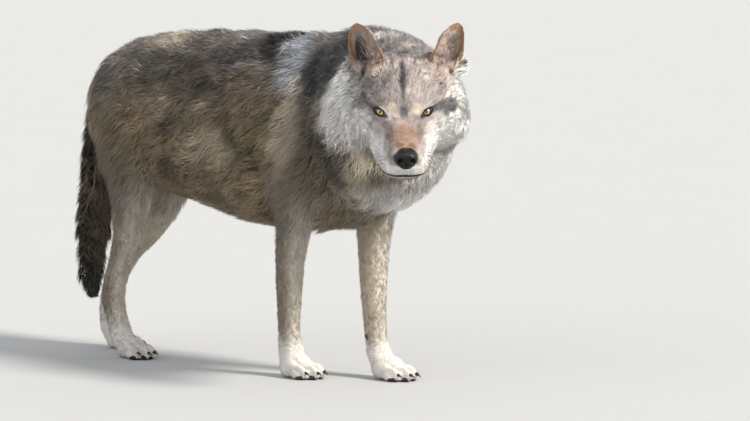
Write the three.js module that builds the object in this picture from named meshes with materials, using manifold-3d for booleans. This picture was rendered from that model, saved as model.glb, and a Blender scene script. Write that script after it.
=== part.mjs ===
// A standing grey wolf in its winter coat, life-size, as a still museum model.
// Millimetres, +Z up. The wolf faces +X with its head turned to its right, towards -Y.
// The whole animal is lofted out to the tips of its coat, then parted with thin cuts into named pieces.
import * as THREE from "three";
import { mergeVertices } from "three/addons/utils/BufferGeometryUtils.js";
import Module from "manifold-3d";

const wasm = await Module();
wasm.setup();

// ---- Driving dimensions -------------------------------------------------------------------
// x = 0 lies midway between the two forefeet while the pieces are made.
const CUT = 0.4; // width of the thin cut between two pieces
const WITHERS = 720; // height of the coat over the shoulders
const CHEST_HALF = 150; // half the width of the trunk with its coat
const PACE_FORE = 81; // how far the left forefoot is ahead of x = 0, and the right one behind it
const HIND_STAND = -631; // x midway between the two hind feet
const PACE_HIND = 68; // how far the right hind foot is ahead of that, and the left one behind it
const FOOT_Y = 52; // half the distance between the tracks of left and right feet

// The midpoint of the eyes, and how far the head is turned and tilted down.
const HEAD = { eyes: [312, -171.5, 576], yaw: -44.5, pitch: 28.5 };
const EYE = { side: 46, radius: 12.5, forward: -1, up: 0 };
const NOSE = { forward: 114, up: -37, half: 22, height: 20, length: 17 };
const EAR = { side: 74, sway: 9, forward: -92, up: 42, height: 105, half: 41, cup: 28, wall: 8, lean: 9 };
const PAW = { length: 112, width: 80 };
const HIND_PAW = 0.88; // size of a hind paw beside a fore paw
const CLAW = { length: 15, radius: 3.6 };
const ANKLE = 74; // height at which a leg ends and its paw begins

// ---- Shape helpers --------------------------------------------------------------------------
const vec = (x, y, z) => new THREE.Vector3(x, y, z);
const radians = THREE.MathUtils.degToRad;
const X = vec(1, 0, 0);
const Y = vec(0, 1, 0);
const Z = vec(0, 0, 1);

// A geometry as a manifold-3d solid, its faces turned outwards.
function solidOf(geometry) {
  const bare = geometry.clone();
  bare.deleteAttribute("normal");
  bare.deleteAttribute("uv");
  const merged = mergeVertices(bare, 1e-4);
  const mesh = (triVerts) =>
    new wasm.Mesh({ numProp: 3, vertProperties: merged.attributes.position.array, triVerts });
  const corners = Uint32Array.from(merged.index.array);
  const solid = new wasm.Manifold(mesh(corners));
  return solid.volume() > 0 ? solid : new wasm.Manifold(mesh(corners.reverse()));
}

// The largest body of a solid, as a three.js geometry.
function geometryOf(solid) {
  const largest = solid.decompose().sort((a, b) => b.volume() - a.volume())[0];
  const { vertProperties, triVerts, numProp, numVert } = largest.getMesh();
  const places = new Float32Array(numVert * 3);
  for (let i = 0; i < numVert; i++)
    places.set(vertProperties.subarray(i * numProp, i * numProp + 3), i * 3);
  const geometry = new THREE.BufferGeometry();
  geometry.setAttribute("position", new THREE.BufferAttribute(places, 3));
  geometry.setIndex(new THREE.BufferAttribute(triVerts, 1));
  geometry.computeVertexNormals();
  return geometry;
}

const union = (solids) => solids.reduce((all, one) => all.add(one));

// Rows between stations: every number runs on a cubic whose slopes follow the uneven spacing of `key`.
function between(stations, key, steps) {
  const last = stations.length - 1;
  const slope = (i, name) => {
    const [a, b] = [stations[Math.max(i - 1, 0)], stations[Math.min(i + 1, last)]];
    return (b[name] - a[name]) / (b[key] - a[key]);
  };
  const rows = [];
  for (let i = 0; i < last; i++) {
    const [a, b] = [stations[i], stations[i + 1]];
    const span = b[key] - a[key];
    for (let k = 0; k < steps; k++) {
      const t = k / steps;
      const row = {};
      for (const name of Object.keys(a))
        row[name] =
          (2 * t ** 3 - 3 * t ** 2 + 1) * a[name] +
          (t ** 3 - 2 * t ** 2 + t) * span * slope(i, name) +
          (3 * t ** 2 - 2 * t ** 3) * b[name] +
          (t ** 3 - t ** 2) * span * slope(i + 1, name);
      rows.push(row);
    }
  }
  rows.push(stations[last]);
  return rows;
}

// One closed section round a centre: `half` to each side, `rise` along up and `drop` against it.
// boxy = 2 is an ellipse, and larger values square it off.
function section({ centre, side, up, half, rise, drop, boxy = 2 }, around) {
  const power = 2 / boxy;
  const points = [];
  for (let i = 0; i < around; i++) {
    const a = (i / around) * 2 * Math.PI;
    const across = Math.sign(Math.cos(a)) * Math.abs(Math.cos(a)) ** power * half;
    const s = Math.sign(Math.sin(a)) * Math.abs(Math.sin(a)) ** power;
    const along = s > 0 ? s * rise : s * drop;
    points.push(centre.clone().addScaledVector(side, across).addScaledVector(up, along));
  }
  return points;
}

// A closed tube through sections with equal numbers of points, each end closed to its middle.
function tube(sections) {
  const around = sections[0].length;
  const middle = (points) => points.reduce((sum, p) => sum.add(p), vec(0, 0, 0)).divideScalar(points.length);
  const points = [...sections.flat(), middle(sections[0]), middle(sections.at(-1))];
  const [start, end] = [points.length - 2, points.length - 1];
  const index = [];
  for (let r = 0; r < sections.length - 1; r++)
    for (let i = 0; i < around; i++) {
      const [a, b] = [r * around + i, r * around + ((i + 1) % around)];
      index.push(a, b, b + around, a, b + around, a + around);
    }
  const tail = (sections.length - 1) * around;
  for (let i = 0; i < around; i++) {
    const j = (i + 1) % around;
    index.push(start, j, i, end, tail + i, tail + j);
  }
  const geometry = new THREE.BufferGeometry().setFromPoints(points);
  geometry.setIndex(index);
  return solidOf(geometry);
}

// A box in a frame of its own: centre, three axes and three full sizes.
function block(centre, axes, sizes) {
  const frame = new THREE.Matrix4().makeBasis(...axes).setPosition(centre);
  return solidOf(new THREE.BoxGeometry(...sizes).applyMatrix4(frame));
}

// Everything on the side of a plane that its normal points to.
const REACH = 4000;
function beyond(point, normal) {
  const n = normal.clone().normalize();
  const side = Math.abs(n.z) > 0.9 ? X.clone().cross(n).normalize() : Z.clone().cross(n).normalize();
  const middle = point.clone().addScaledVector(n, REACH / 2);
  return block(middle, [side, n.clone().cross(side), n], [REACH, REACH, REACH]);
}

// Where all of the half spaces meet. Each is [point, normal]; `grow` moves every plane outwards.
const region = (planes, grow = 0) =>
  planes
    .map(([point, normal]) => {
      const moved = point.clone().addScaledVector(normal.clone().normalize(), -grow);
      return beyond(moved, normal);
    })
    .reduce((a, b) => a.intersect(b));

function ellipsoid(centre, axes, halves, detail = 14) {
  const frame = new THREE.Matrix4().makeBasis(...axes).setPosition(centre);
  const ball = new THREE.SphereGeometry(1, detail, Math.round(detail * 0.7)).scale(...halves);
  return solidOf(ball.applyMatrix4(frame));
}

// ---- Trunk ----------------------------------------------------------------------------------
// Upright sections from rump to breast: the coat's top line, its under line and half its width.
const TRUNK = [
  { x: -700, top: 585, bottom: 480, half: 42 },
  { x: -684, top: 620, bottom: 440, half: 78 },
  { x: -645, top: 655, bottom: 405, half: 110 },
  { x: -590, top: 684, bottom: 382, half: 132 },
  { x: -500, top: 701, bottom: 362, half: 140 },
  { x: -400, top: 709, bottom: 337, half: 143 },
  { x: -290, top: 715, bottom: 311, half: 149 },
  { x: -180, top: 714, bottom: 297, half: CHEST_HALF + 3 },
  { x: -70, top: WITHERS, bottom: 299, half: CHEST_HALF },
  { x: 20, top: WITHERS - 4, bottom: 308, half: CHEST_HALF - 2 },
  { x: 95, top: 680, bottom: 332, half: 128 },
  { x: 132, top: 620, bottom: 388, half: 90 },
  { x: 150, top: 580, bottom: 440, half: 48 },
];
const TRUNK_WIDEST = 0.5; // height of the widest line, as a share of the section

function trunkSolid() {
  const sections = between(TRUNK, "x", 1).map(({ x, top, bottom, half }) => {
    const middle = bottom + (top - bottom) * TRUNK_WIDEST;
    const [rise, drop] = [top - middle, middle - bottom];
    return section({ centre: vec(x, 0, middle), side: Y, up: Z, half, rise, drop, boxy: 2.25 }, 24);
  });
  return tube(sections);
}

// ---- Neck -----------------------------------------------------------------------------------
// The maned neck swings to the right as it runs forwards. Sections stand square to its path.
const NECK = [
  { at: 0, x: -60, y: 0, z: 520, half: 130, rise: 190, drop: 190 },
  { at: 1, x: 20, y: -2, z: 535, half: 146, rise: 190, drop: 200 },
  { at: 2, x: 85, y: -14, z: 546, half: 153, rise: 190, drop: 202 },
  { at: 3, x: 140, y: -40, z: 553, half: 152, rise: 188, drop: 201 },
  { at: 4, x: 184, y: -70, z: 554, half: 149, rise: 178, drop: 188 },
  { at: 5, x: 219, y: -99, z: 550, half: 139, rise: 155, drop: 165 },
  { at: 6, x: 245, y: -122, z: 542, half: 108, rise: 122, drop: 122 },
  { at: 7, x: 259, y: -134, z: 536, half: 60, rise: 70, drop: 72 },
];

function neckSolid() {
  const rows = between(NECK, "at", 1);
  const sections = rows.map((row, i) => {
    const [a, b] = [rows[Math.max(i - 1, 0)], rows[Math.min(i + 1, rows.length - 1)]];
    const along = vec(b.x - a.x, b.y - a.y, b.z - a.z).normalize();
    const side = Z.clone().cross(along).normalize();
    return section({ ...row, centre: vec(row.x, row.y, row.z), side, up: along.cross(side), boxy: 2.1 }, 24);
  });
  return tube(sections);
}

// ---- Head -----------------------------------------------------------------------------------
// The head has a frame of its own: origin midway between the eyes, x to the nose, y to its left, z up.
const [yaw, pitch] = [radians(HEAD.yaw), radians(HEAD.pitch)];
const HEAD_X = vec(Math.cos(pitch) * Math.cos(yaw), Math.cos(pitch) * Math.sin(yaw), -Math.sin(pitch));
const HEAD_Y = vec(-Math.sin(yaw), Math.cos(yaw), 0);
const HEAD_Z = HEAD_X.clone().cross(HEAD_Y);
const EYES = vec(...HEAD.eyes);
const inHead = (x, y, z) =>
  EYES.clone().addScaledVector(HEAD_X, x).addScaledVector(HEAD_Y, y).addScaledVector(HEAD_Z, z);
const headWay = (x, y, z) => inHead(x, y, z).sub(EYES);

// Sections from the nape to the lips: crown or bridge of the muzzle, jaw line, half width,
// the height at which the section is widest, and how far it sways to the left.
const SKULL = [
  { x: -168, top: 30, bottom: -110, half: 90, widest: -35, sway: 8, boxy: 2 },
  { x: -150, top: 58, bottom: -150, half: 121, widest: -50, sway: 10, boxy: 2 },
  { x: -115, top: 75, bottom: -186, half: 136, widest: -74, sway: 11, boxy: 2.05 },
  { x: -84, top: 75, bottom: -194, half: 138, widest: -84, sway: 11, boxy: 2.05 },
  { x: -62, top: 69, bottom: -176, half: 129, widest: -78, sway: 10, boxy: 2.08 },
  { x: -40, top: 58, bottom: -148, half: 113, widest: -70, sway: 7, boxy: 2.1 },
  { x: -20, top: 44, bottom: -126, half: 94, widest: -58, sway: 3, boxy: 2.2 },
  { x: 5, top: 22, bottom: -117, half: 74, widest: -58, sway: 1, boxy: 2.4 },
  { x: 28, top: 5, bottom: -115, half: 61, widest: -68, sway: 0, boxy: 2.5 },
  { x: 55, top: -5, bottom: -110, half: 53, widest: -70, sway: 0, boxy: 2.6 },
  { x: 84, top: -11, bottom: -102, half: 46, widest: -69, sway: 0, boxy: 2.6 },
  { x: 105, top: -16, bottom: -95, half: 38, widest: -65, sway: 0, boxy: 2.5 },
  { x: 114, top: -24, bottom: -85, half: 23, widest: -56, sway: 0, boxy: 2.3 },
];
// Height of the mouth's line at the nose, its fall towards the corner, and the corner's x.
const MOUTH = { front: -77, slope: 0.22, corner: 26 };

function skullSolid() {
  const sections = between(SKULL, "x", 1).map(({ x, top, bottom, half, widest, sway, boxy }) => {
    const centre = inHead(x, sway, widest);
    const [rise, drop] = [top - widest, widest - bottom];
    return section({ centre, side: HEAD_Y, up: HEAD_Z, half, rise, drop, boxy }, 24);
  });
  return tube(sections);
}

const noseSolid = (grow = 0) =>
  ellipsoid(
    inHead(NOSE.forward, 0, NOSE.up),
    [HEAD_X, HEAD_Y, HEAD_Z],
    [NOSE.length + grow, NOSE.half + grow, NOSE.height + grow],
    10,
  );

// The eye, and the lidded hollow that it looks out of. hand = 1 is the left side, -1 the right.
const eyeCentre = (hand) => inHead(EYE.forward, hand * EYE.side, EYE.up);
const eyeSolid = (hand, grow = 0) =>
  ellipsoid(eyeCentre(hand), [HEAD_X, HEAD_Y, HEAD_Z], Array(3).fill(EYE.radius + grow), 10);
function socketSolid(hand) {
  const out = headWay(0.74, hand * 0.36, 0.52).normalize();
  const slant = headWay(0, hand, 0.38).addScaledVector(out, -headWay(0, hand, 0.38).dot(out)).normalize();
  return ellipsoid(
    eyeCentre(hand).addScaledVector(out, EYE.radius * 1.15),
    [out, slant, out.clone().cross(slant)],
    [15, 17, 9],
    10,
  );
}

// ---- Ears -----------------------------------------------------------------------------------
// An upright cup: sections run up its own axis, each a crescent open to the front.
function earFrame(hand) {
  const up = headWay(-0.12, hand * Math.sin(radians(EAR.lean)), 1).normalize();
  const opening = headWay(0.92, hand * 0.36, 0.1);
  const forward = opening.addScaledVector(up, -opening.dot(up)).normalize();
  const root = inHead(EAR.forward, hand * EAR.side + EAR.sway, EAR.up);
  return { up, forward, side: up.clone().cross(forward), root };
}

// Points of one crescent: the back wall bulges by `cup`, and the hollow front lies a wall's width before it.
function crescent({ root, up, forward, side }, height, half, cup, wall, around) {
  const centre = root.clone().addScaledVector(up, height);
  const arc = (t, depth) =>
    centre
      .clone()
      .addScaledVector(side, Math.sin(t) * half)
      .addScaledVector(forward, -Math.cos(t) * depth + cup / 2);
  const steps = around / 2;
  const back = Array.from({ length: steps }, (_, i) => arc(((i + 0.5) / steps - 0.5) * Math.PI, cup));
  const front = back.map((_, i) => arc(((i + 0.5) / steps - 0.5) * Math.PI, Math.max(cup - wall, 0.5)));
  return [...back, ...front.reverse()];
}

function earSolid(hand) {
  const frame = earFrame(hand);
  const LEVELS = 8;
  const BELOW = 30; // how far the root reaches into the head
  const sections = Array.from({ length: LEVELS }, (_, i) => {
    const t = 1 - (1 - i / (LEVELS - 1)) ** 1.4; // closer together towards the rounded tip
    const round = Math.sqrt(Math.max(1 - t ** 5, 0.012));
    const half = EAR.half * round * (1 - 0.22 * t);
    const root = frame.root.clone().addScaledVector(HEAD_Y, hand * 0.3 * (EAR.half - half));
    const height = -BELOW + (EAR.height + BELOW) * t;
    return crescent({ ...frame, root }, height, half, EAR.cup * round, EAR.wall, 14);
  });
  return tube(sections);
}

// ---- Legs -----------------------------------------------------------------------------------
// Level sections down a leg. `lean` says how much of the foot's step each level takes up.
const FORELEG = [
  { z: 592, x: 10, y: 86, front: 30, back: 30, half: 26, lean: 0 },
  { z: 548, x: 4, y: 98, front: 62, back: 62, half: 56, lean: 0 },
  { z: 480, x: -4, y: 101, front: 82, back: 80, half: 59, lean: 0.05 },
  { z: 410, x: -16, y: 95, front: 72, back: 74, half: 56, lean: 0.2 },
  { z: 350, x: -27, y: 83, front: 53, back: 54, half: 45, lean: 0.42 },
  { z: 300, x: -33, y: 74, front: 43, back: 43, half: 36, lean: 0.56 },
  { z: 250, x: -37, y: 68, front: 36, back: 36, half: 31, lean: 0.67 },
  { z: 190, x: -39, y: 61, front: 33, back: 33, half: 27, lean: 0.76 },
  { z: 130, x: -38, y: 56, front: 29, back: 29, half: 24, lean: 0.84 },
  { z: 85, x: -36, y: FOOT_Y + 2, front: 27, back: 27, half: 23, lean: 0.89 },
  { z: 50, x: -28, y: FOOT_Y, front: 32, back: 30, half: 27, lean: 0.93 },
  { z: 22, x: -16, y: FOOT_Y, front: 30, back: 32, half: 28, lean: 1 },
];
const HINDLEG = [
  { z: 622, x: -560, y: 70, front: 46, back: 46, half: 32, lean: 0 },
  { z: 572, x: -560, y: 90, front: 92, back: 76, half: 56, lean: 0 },
  { z: 480, x: -558, y: 92, front: 112, back: 85, half: 60, lean: 0.1 },
  { z: 410, x: -554, y: 88, front: 92, back: 84, half: 54, lean: 0.2 },
  { z: 362, x: -555, y: 84, front: 62, back: 56, half: 46, lean: 0.3 },
  { z: 320, x: -567, y: 80, front: 44, back: 43, half: 41, lean: 0.35 },
  { z: 280, x: -583, y: 74, front: 36, back: 34, half: 35, lean: 0.4 },
  { z: 240, x: -607, y: 68, front: 32, back: 32, half: 30, lean: 0.52 },
  { z: 195, x: -644, y: 63, front: 30, back: 31, half: 26, lean: 0.73 },
  { z: 155, x: -667, y: 59, front: 31, back: 33, half: 24, lean: 0.8 },
  { z: 115, x: -676, y: 55, front: 30, back: 33, half: 23, lean: 0.84 },
  { z: 75, x: -674, y: FOOT_Y, front: 29, back: 30, half: 23, lean: 0.93 },
  { z: 42, x: -664, y: FOOT_Y, front: 30, back: 29, half: 26, lean: 1 },
  { z: 20, x: -652, y: FOOT_Y, front: 28, back: 28, half: 26, lean: 1 },
];

function legSolid(levels, hand, step, grow = 0) {
  const top = levels[0].z;
  const sections = [...levels].reverse().map(({ z, x, y, front, back, half, lean }) =>
    section(
      {
        centre: vec(x + step * lean, hand * y, z === top ? z + grow : z),
        side: Y,
        up: X,
        half: half + grow,
        rise: front + grow,
        drop: back + grow,
        boxy: 2.1,
      },
      12,
    ),
  );
  return tube(sections);
}

const DEWCLAW = { x: -42, lean: 0.89, inset: 23, z: 90 };

// A broad foot: the heel and four toes.
const TOES = [
  { side: -0.34, forward: 0.2 },
  { side: -0.12, forward: 0.36 },
  { side: 0.12, forward: 0.36 },
  { side: 0.34, forward: 0.2 },
];
function pawAt(x, y, turn, size) {
  const forward = vec(Math.cos(turn), Math.sin(turn), 0);
  const side = vec(-Math.sin(turn), Math.cos(turn), 0);
  const at = (ahead, across, z) =>
    vec(x, y, z).addScaledVector(forward, ahead).addScaledVector(side, across);
  return { forward, side, at, length: PAW.length * size, width: PAW.width * size };
}

function pawSolid({ forward, side, at, length, width }) {
  const heel = ellipsoid(at(-7, 0, 20), [forward, side, Z], [length * 0.4, width * 0.42, 32], 9);
  const toes = TOES.map((toe) =>
    ellipsoid(
      at(toe.forward * length, toe.side * width, 12.5),
      [forward, side, Z],
      [length * 0.22, width * 0.16, 20],
      7,
    ),
  );
  return union([heel, ...toes]);
}

// A blunt claw that leaves its root forwards and down.
function clawSolid(root, way, side, grow = 0) {
  const LEVELS = 3;
  const sections = Array.from({ length: LEVELS }, (_, i) => {
    const t = i / (LEVELS - 1);
    const radius = CLAW.radius * (1 - 0.8 * t ** 1.5) + grow;
    const centre = root.clone().addScaledVector(way, (CLAW.length + grow * 2) * t - grow);
    const up = way.clone().cross(side);
    return section({ centre, side, up, half: radius * 0.8, rise: radius, drop: radius }, 6);
  });
  return tube(sections);
}

function toeClaw({ forward, side, at, length, width }, toe, grow = 0) {
  const root = at(toe.forward * length + length * 0.17, toe.side * width, 16);
  return clawSolid(root, forward.clone().addScaledVector(Z, -0.5).normalize(), side, grow);
}

// The dewclaw hangs on the inner side of the foreleg, above the paw.
function dewclaw(hand, step, grow = 0) {
  const root = vec(DEWCLAW.x + step * DEWCLAW.lean, hand * (FOOT_Y - DEWCLAW.inset), DEWCLAW.z);
  return clawSolid(root, vec(0.45, -hand * 0.12, -0.9).normalize(), Y, grow);
}

// ---- Tail -----------------------------------------------------------------------------------
const TAIL = [
  { at: 0, x: -626, y: 0, z: 606, half: 38, rise: 38, drop: 38 },
  { at: 1, x: -669, y: 0, z: 570, half: 46, rise: 42, drop: 42 },
  { at: 2, x: -697, y: -1, z: 500, half: 50, rise: 42, drop: 42 },
  { at: 3, x: -708, y: -2, z: 420, half: 56, rise: 46, drop: 46 },
  { at: 4, x: -716, y: -4, z: 335, half: 58, rise: 48, drop: 48 },
  { at: 5, x: -729, y: -6, z: 245, half: 47, rise: 42, drop: 42 },
  { at: 6, x: -734, y: -9, z: 170, half: 29, rise: 26, drop: 26 },
  { at: 7, x: -728, y: -10, z: 116, half: 10, rise: 9, drop: 9 },
];

function tailSolid() {
  const rows = between(TAIL, "at", 1);
  const sections = rows.map((row, i) => {
    const [a, b] = [rows[Math.max(i - 1, 0)], rows[Math.min(i + 1, rows.length - 1)]];
    const along = vec(b.x - a.x, b.y - a.y, b.z - a.z).normalize();
    const up = Y.clone().cross(along).negate();
    return section({ ...row, centre: vec(row.x, row.y, row.z), side: Y, up }, 14);
  });
  return tube(sections);
}

// ---- The whole animal, then its parting -------------------------------------------------------
const SIDES = [
  { name: "left", hand: 1, fore: PACE_FORE, hind: -PACE_HIND },
  { name: "right", hand: -1, fore: -PACE_FORE, hind: PACE_HIND },
];
const FEET = SIDES.flatMap(({ name, hand, fore, hind }) => [
  { name: "fore_" + name, levels: FORELEG, hand, step: fore, paw: pawAt(fore, hand * FOOT_Y, 0, 1) },
  {
    name: "hind_" + name,
    levels: HINDLEG,
    hand,
    step: hind,
    paw: pawAt(HIND_STAND + hind, hand * FOOT_Y, 0, HIND_PAW),
  },
]);

const pieces = {};

// The head ends at the nape and at the throat; the neck takes what lies behind or below.
const NAPE = [inHead(-138, 0, 0), HEAD_X.clone().addScaledVector(HEAD_Z, 0.12)];
const THROAT = [inHead(0, 0, -126), HEAD_Z.clone().addScaledVector(HEAD_X, -0.27)];
const maned = union([neckSolid(), skullSolid()]);
let body = union([trunkSolid(), maned.subtract(region([NAPE, THROAT]))]);
const crown = maned.intersect(region([NAPE, THROAT], -CUT)).subtract(body);
let head = crown.subtract(body.translate(HEAD_X.clone().multiplyScalar(CUT).toArray()));

// Ears stand on the skull, a cut's width clear of it on every side.
for (const { name, hand } of SIDES) {
  const { up, side } = earFrame(hand);
  const ways = [up, side, side.clone().negate(), up.clone().add(side), up.clone().sub(side)];
  pieces["ear_" + name] = ways.reduce(
    (ear, way) => ear.subtract(maned.translate(way.clone().setLength(CUT).toArray())),
    earSolid(hand).subtract(maned),
  );
}

// Eyes and nose.
for (const { name, hand } of SIDES) {
  pieces["eye_" + name] = eyeSolid(hand);
  head = head.subtract(socketSolid(hand)).subtract(eyeSolid(hand, CUT));
}
pieces.nose = noseSolid();
head = head.subtract(noseSolid(CUT));

// Lower jaw: everything under the line of the mouth, forward of its corner.
const mouthAt = (x) => inHead(x, 0, MOUTH.front - MOUTH.slope * (NOSE.forward - x));
const JAW = [
  [mouthAt(0), mouthAt(1).sub(mouthAt(0)).cross(HEAD_Y).negate()],
  [mouthAt(MOUTH.corner), HEAD_X.clone().addScaledVector(HEAD_Z, -0.35)],
];
pieces.lower_jaw = head.intersect(region(JAW));
pieces.head = head.subtract(region(JAW, CUT));

// Each leg is whole from its shoulder or thigh to the ankle, set into the trunk; the paw lies below.
for (const { name, levels, hand, step, paw } of FEET) {
  const limb = legSolid(levels, hand, step);
  body = body.subtract(legSolid(levels, hand, step, CUT));
  let leg = limb.intersect(region([[vec(0, 0, ANKLE + CUT), Z]]));
  const underAnkle = region([[vec(0, 0, ANKLE), vec(0, 0, -1)], [vec(0, 0, 0), Z]]);
  let foot = union([limb, pawSolid(paw)]).intersect(underAnkle);
  TOES.forEach((toe, i) => {
    pieces["claw_" + name + "_" + (i + 1)] = toeClaw(paw, toe);
    foot = foot.subtract(toeClaw(paw, toe, CUT));
  });
  pieces["paw_" + name] = foot;
  const side = hand > 0 ? "left" : "right";
  if (name.startsWith("fore")) {
    pieces["dewclaw_" + side] = dewclaw(hand, step);
    leg = leg.subtract(dewclaw(hand, step, CUT));
  }
  pieces[(name.startsWith("fore") ? "foreleg_" : "hindleg_") + side] = leg;
}

// The tail is cut back to the rump, a cut's width behind it.
pieces.tail = tailSolid().subtract(body).subtract(body.translate([-CUT, 0, 0]));

// Neck and trunk, parted by a plane that leans back over the shoulders.
const COLLAR = [vec(84, 0, 560), vec(1, -0.12, 0.25)];
pieces.neck = body.intersect(region([COLLAR]));
pieces.trunk = body.subtract(region([COLLAR], CUT));

// ---- Materials and the group ------------------------------------------------------------------
const finish = (color, roughness) => new THREE.MeshStandardMaterial({ color, roughness, metalness: 0 });
const COAT = {
  trunk: finish(0x6f675c, 0.9),
  neck: finish(0x8a8378, 0.9),
  head: finish(0xa39a8e, 0.88),
  lower_jaw: finish(0xcfc8bb, 0.88),
  tail: finish(0x4a443e, 0.9),
  ear: finish(0x9c7a58, 0.88),
  foreleg: finish(0xa79a86, 0.88),
  hindleg: finish(0x9a8c78, 0.88),
  paw: finish(0xd8d0c4, 0.88),
};
const EYE_FINISH = finish(0xb07a2c, 0.1);
const NOSE_FINISH = finish(0x17161a, 0.35);
const CLAW_FINISH = finish(0x2b2622, 0.45);

function materialOf(name) {
  if (name.startsWith("eye_")) return EYE_FINISH;
  if (name.includes("claw_")) return CLAW_FINISH;
  if (name === "nose") return NOSE_FINISH;
  return COAT[name] ?? COAT[name.split("_")[0]];
}

const wolf = new THREE.Group();
for (const [name, solid] of Object.entries(pieces)) {
  const mesh = new THREE.Mesh(geometryOf(solid), materialOf(name));
  mesh.name = name;
  wolf.add(mesh);
}

// The origin is on the ground under the middle of the animal's bounding box.
const box = new THREE.Box3().setFromObject(wolf);
const middle = box.getCenter(vec(0, 0, 0));
wolf.position.set(-middle.x, -middle.y, -box.min.z);

export default wolf;
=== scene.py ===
"""A standing grey wolf in its winter coat, life-size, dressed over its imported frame.

One skin covers the whole body, a coat of mesh tufts lies over it, and the eyes, lids, nose,
lips, whiskers, claws and pads are pieces of their own. Blender's unit is the metre; shapes
are worked out in millimetres in the wolf's own stance and moved to the frame at the end.
"""

import sys

import itertools
import logging
import math
from dataclasses import dataclass, field
from enum import Enum

import bpy
import numpy as np
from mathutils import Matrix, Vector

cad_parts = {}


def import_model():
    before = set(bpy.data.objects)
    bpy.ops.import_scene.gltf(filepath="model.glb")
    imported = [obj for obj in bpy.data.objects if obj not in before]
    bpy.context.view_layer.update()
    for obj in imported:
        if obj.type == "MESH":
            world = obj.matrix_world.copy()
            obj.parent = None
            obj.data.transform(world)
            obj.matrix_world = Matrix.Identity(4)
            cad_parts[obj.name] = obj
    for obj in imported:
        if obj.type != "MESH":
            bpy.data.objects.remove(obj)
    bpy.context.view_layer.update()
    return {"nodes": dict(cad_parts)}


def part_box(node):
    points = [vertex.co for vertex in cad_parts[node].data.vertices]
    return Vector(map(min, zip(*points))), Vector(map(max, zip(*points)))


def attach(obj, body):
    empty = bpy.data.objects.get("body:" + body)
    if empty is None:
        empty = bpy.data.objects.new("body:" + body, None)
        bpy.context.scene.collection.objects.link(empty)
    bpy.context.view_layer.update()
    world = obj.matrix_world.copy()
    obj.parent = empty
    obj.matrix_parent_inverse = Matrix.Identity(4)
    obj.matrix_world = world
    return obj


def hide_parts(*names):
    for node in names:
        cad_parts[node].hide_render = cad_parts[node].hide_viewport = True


Array = np.ndarray
LOG = logging.getLogger("wolf")
MM = 0.001
WHOLE_TURN = 2 * math.pi


# ---- Colours ------------------------------------------------------------------------------


def linear(red: float, green: float, blue: float) -> Array:
    """Turns a display colour into the linear colour that a shader works in."""
    c = np.array([red, green, blue], float)
    return np.where(c <= 0.04045, c / 12.92, ((c + 0.055) / 1.055) ** 2.4)


class Hair(Enum):
    """The shades that a grey wolf's hairs come in."""

    WHITE = (0.99, 0.975, 0.955)
    CREAM = (0.88, 0.82, 0.73)
    PEARL = (0.85, 0.79, 0.765)
    SILVER = (0.71, 0.73, 0.755)
    ASH = (0.52, 0.50, 0.485)
    SLATE = (0.25, 0.26, 0.285)
    SOOT = (0.09, 0.095, 0.115)
    BUFF = (0.56, 0.49, 0.37)
    TAWNY = (0.46, 0.375, 0.265)
    RUFOUS = (0.71, 0.54, 0.43)
    TAN = (0.79, 0.61, 0.46)
    PINK = (0.80, 0.71, 0.66)
    UMBER = (0.29, 0.245, 0.18)
    SABLE = (0.035, 0.033, 0.033)

    @property
    def rgb(self) -> Array:
        """The shade as a linear colour."""
        return linear(*self.value)


# ---- Whole-array helpers ------------------------------------------------------------------


def smooth(low: float, high: float, value: Array) -> Array:
    """Runs from 0 at low to 1 at high on a cubic that is level at both ends."""
    t = np.clip((value - low) / (high - low), 0.0, 1.0)
    return t * t * (3.0 - 2.0 * t)


def bell(value: Array, middle: float, width: float) -> Array:
    """A soft hump: 1 at the middle, falling to 0.37 at one width from it."""
    return np.exp(-(((value - middle) / width) ** 2))


def unit(vectors: Array) -> Array:
    """Scales every vector of an array to length 1."""
    return vectors / np.maximum(np.linalg.norm(vectors, axis=-1, keepdims=True), 1e-9)


def flat_to(vectors: Array, normals: Array) -> Array:
    """Takes out of each vector what points along its normal."""
    return vectors - normals * (vectors * normals).sum(-1, keepdims=True)


def mix(a: Array, b: Array, share: Array) -> Array:
    """Blends colours a and b by an array of shares, one for each row."""
    share = np.asarray(share)[..., None]
    return a * (1.0 - share) + b * share


CELL_PRIMES = (73856093, 19349663, 83492791)
SEED_PRIME = 2654435761
FOLDS = ((2246822519, 13), (3266489917, 15), (668265263, 11))  # an odd factor and a shift for each number


def hashed(cells: Array, seed: int) -> Array:
    """Three steady pseudo-random numbers in 0..1 for each whole-numbered cell.

    Args:
        cells: Whole-number cell coordinates, one row each.
        seed: Picks another set of numbers.

    Returns:
        An array of the same shape, from multiplying and folding the cell's coordinates.
    """
    c = cells.astype(np.int64)
    h = c[:, 0] * CELL_PRIMES[0] ^ c[:, 1] * CELL_PRIMES[1] ^ c[:, 2] * CELL_PRIMES[2] ^ (seed * SEED_PRIME)
    out = np.empty((len(c), 3))
    for i, (odd, shift) in enumerate(FOLDS):
        h = ((h ^ (h >> shift)) * odd) & 0xFFFFFFFF
        out[:, i] = ((h ^ (h >> 16)) & 0xFFFF) / 65535.0
    return out


def noise(points: Array, size: float, seed: int) -> Array:
    """Soft random hills over space, from -1 to 1.

    Every corner of a lattice of the given size has a random height, and a point's height is
    mixed from the eight corners round it on cubic weights.

    Args:
        points: The places.
        size: The lattice's spacing, in the points' unit.
        seed: Picks another set of hills.

    Returns:
        The height at each point.
    """
    spot = points / size
    base = np.floor(spot)
    part = spot - base
    part = part * part * (3.0 - 2.0 * part)
    total = np.zeros(len(points))
    for corner in itertools.product((0, 1), repeat=3):
        c = np.array(corner)
        weight = np.prod(np.where(c == 1, part, 1.0 - part), axis=1)
        total += weight * hashed(base + c, seed)[:, 0]
    return total * 2.0 - 1.0


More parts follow.
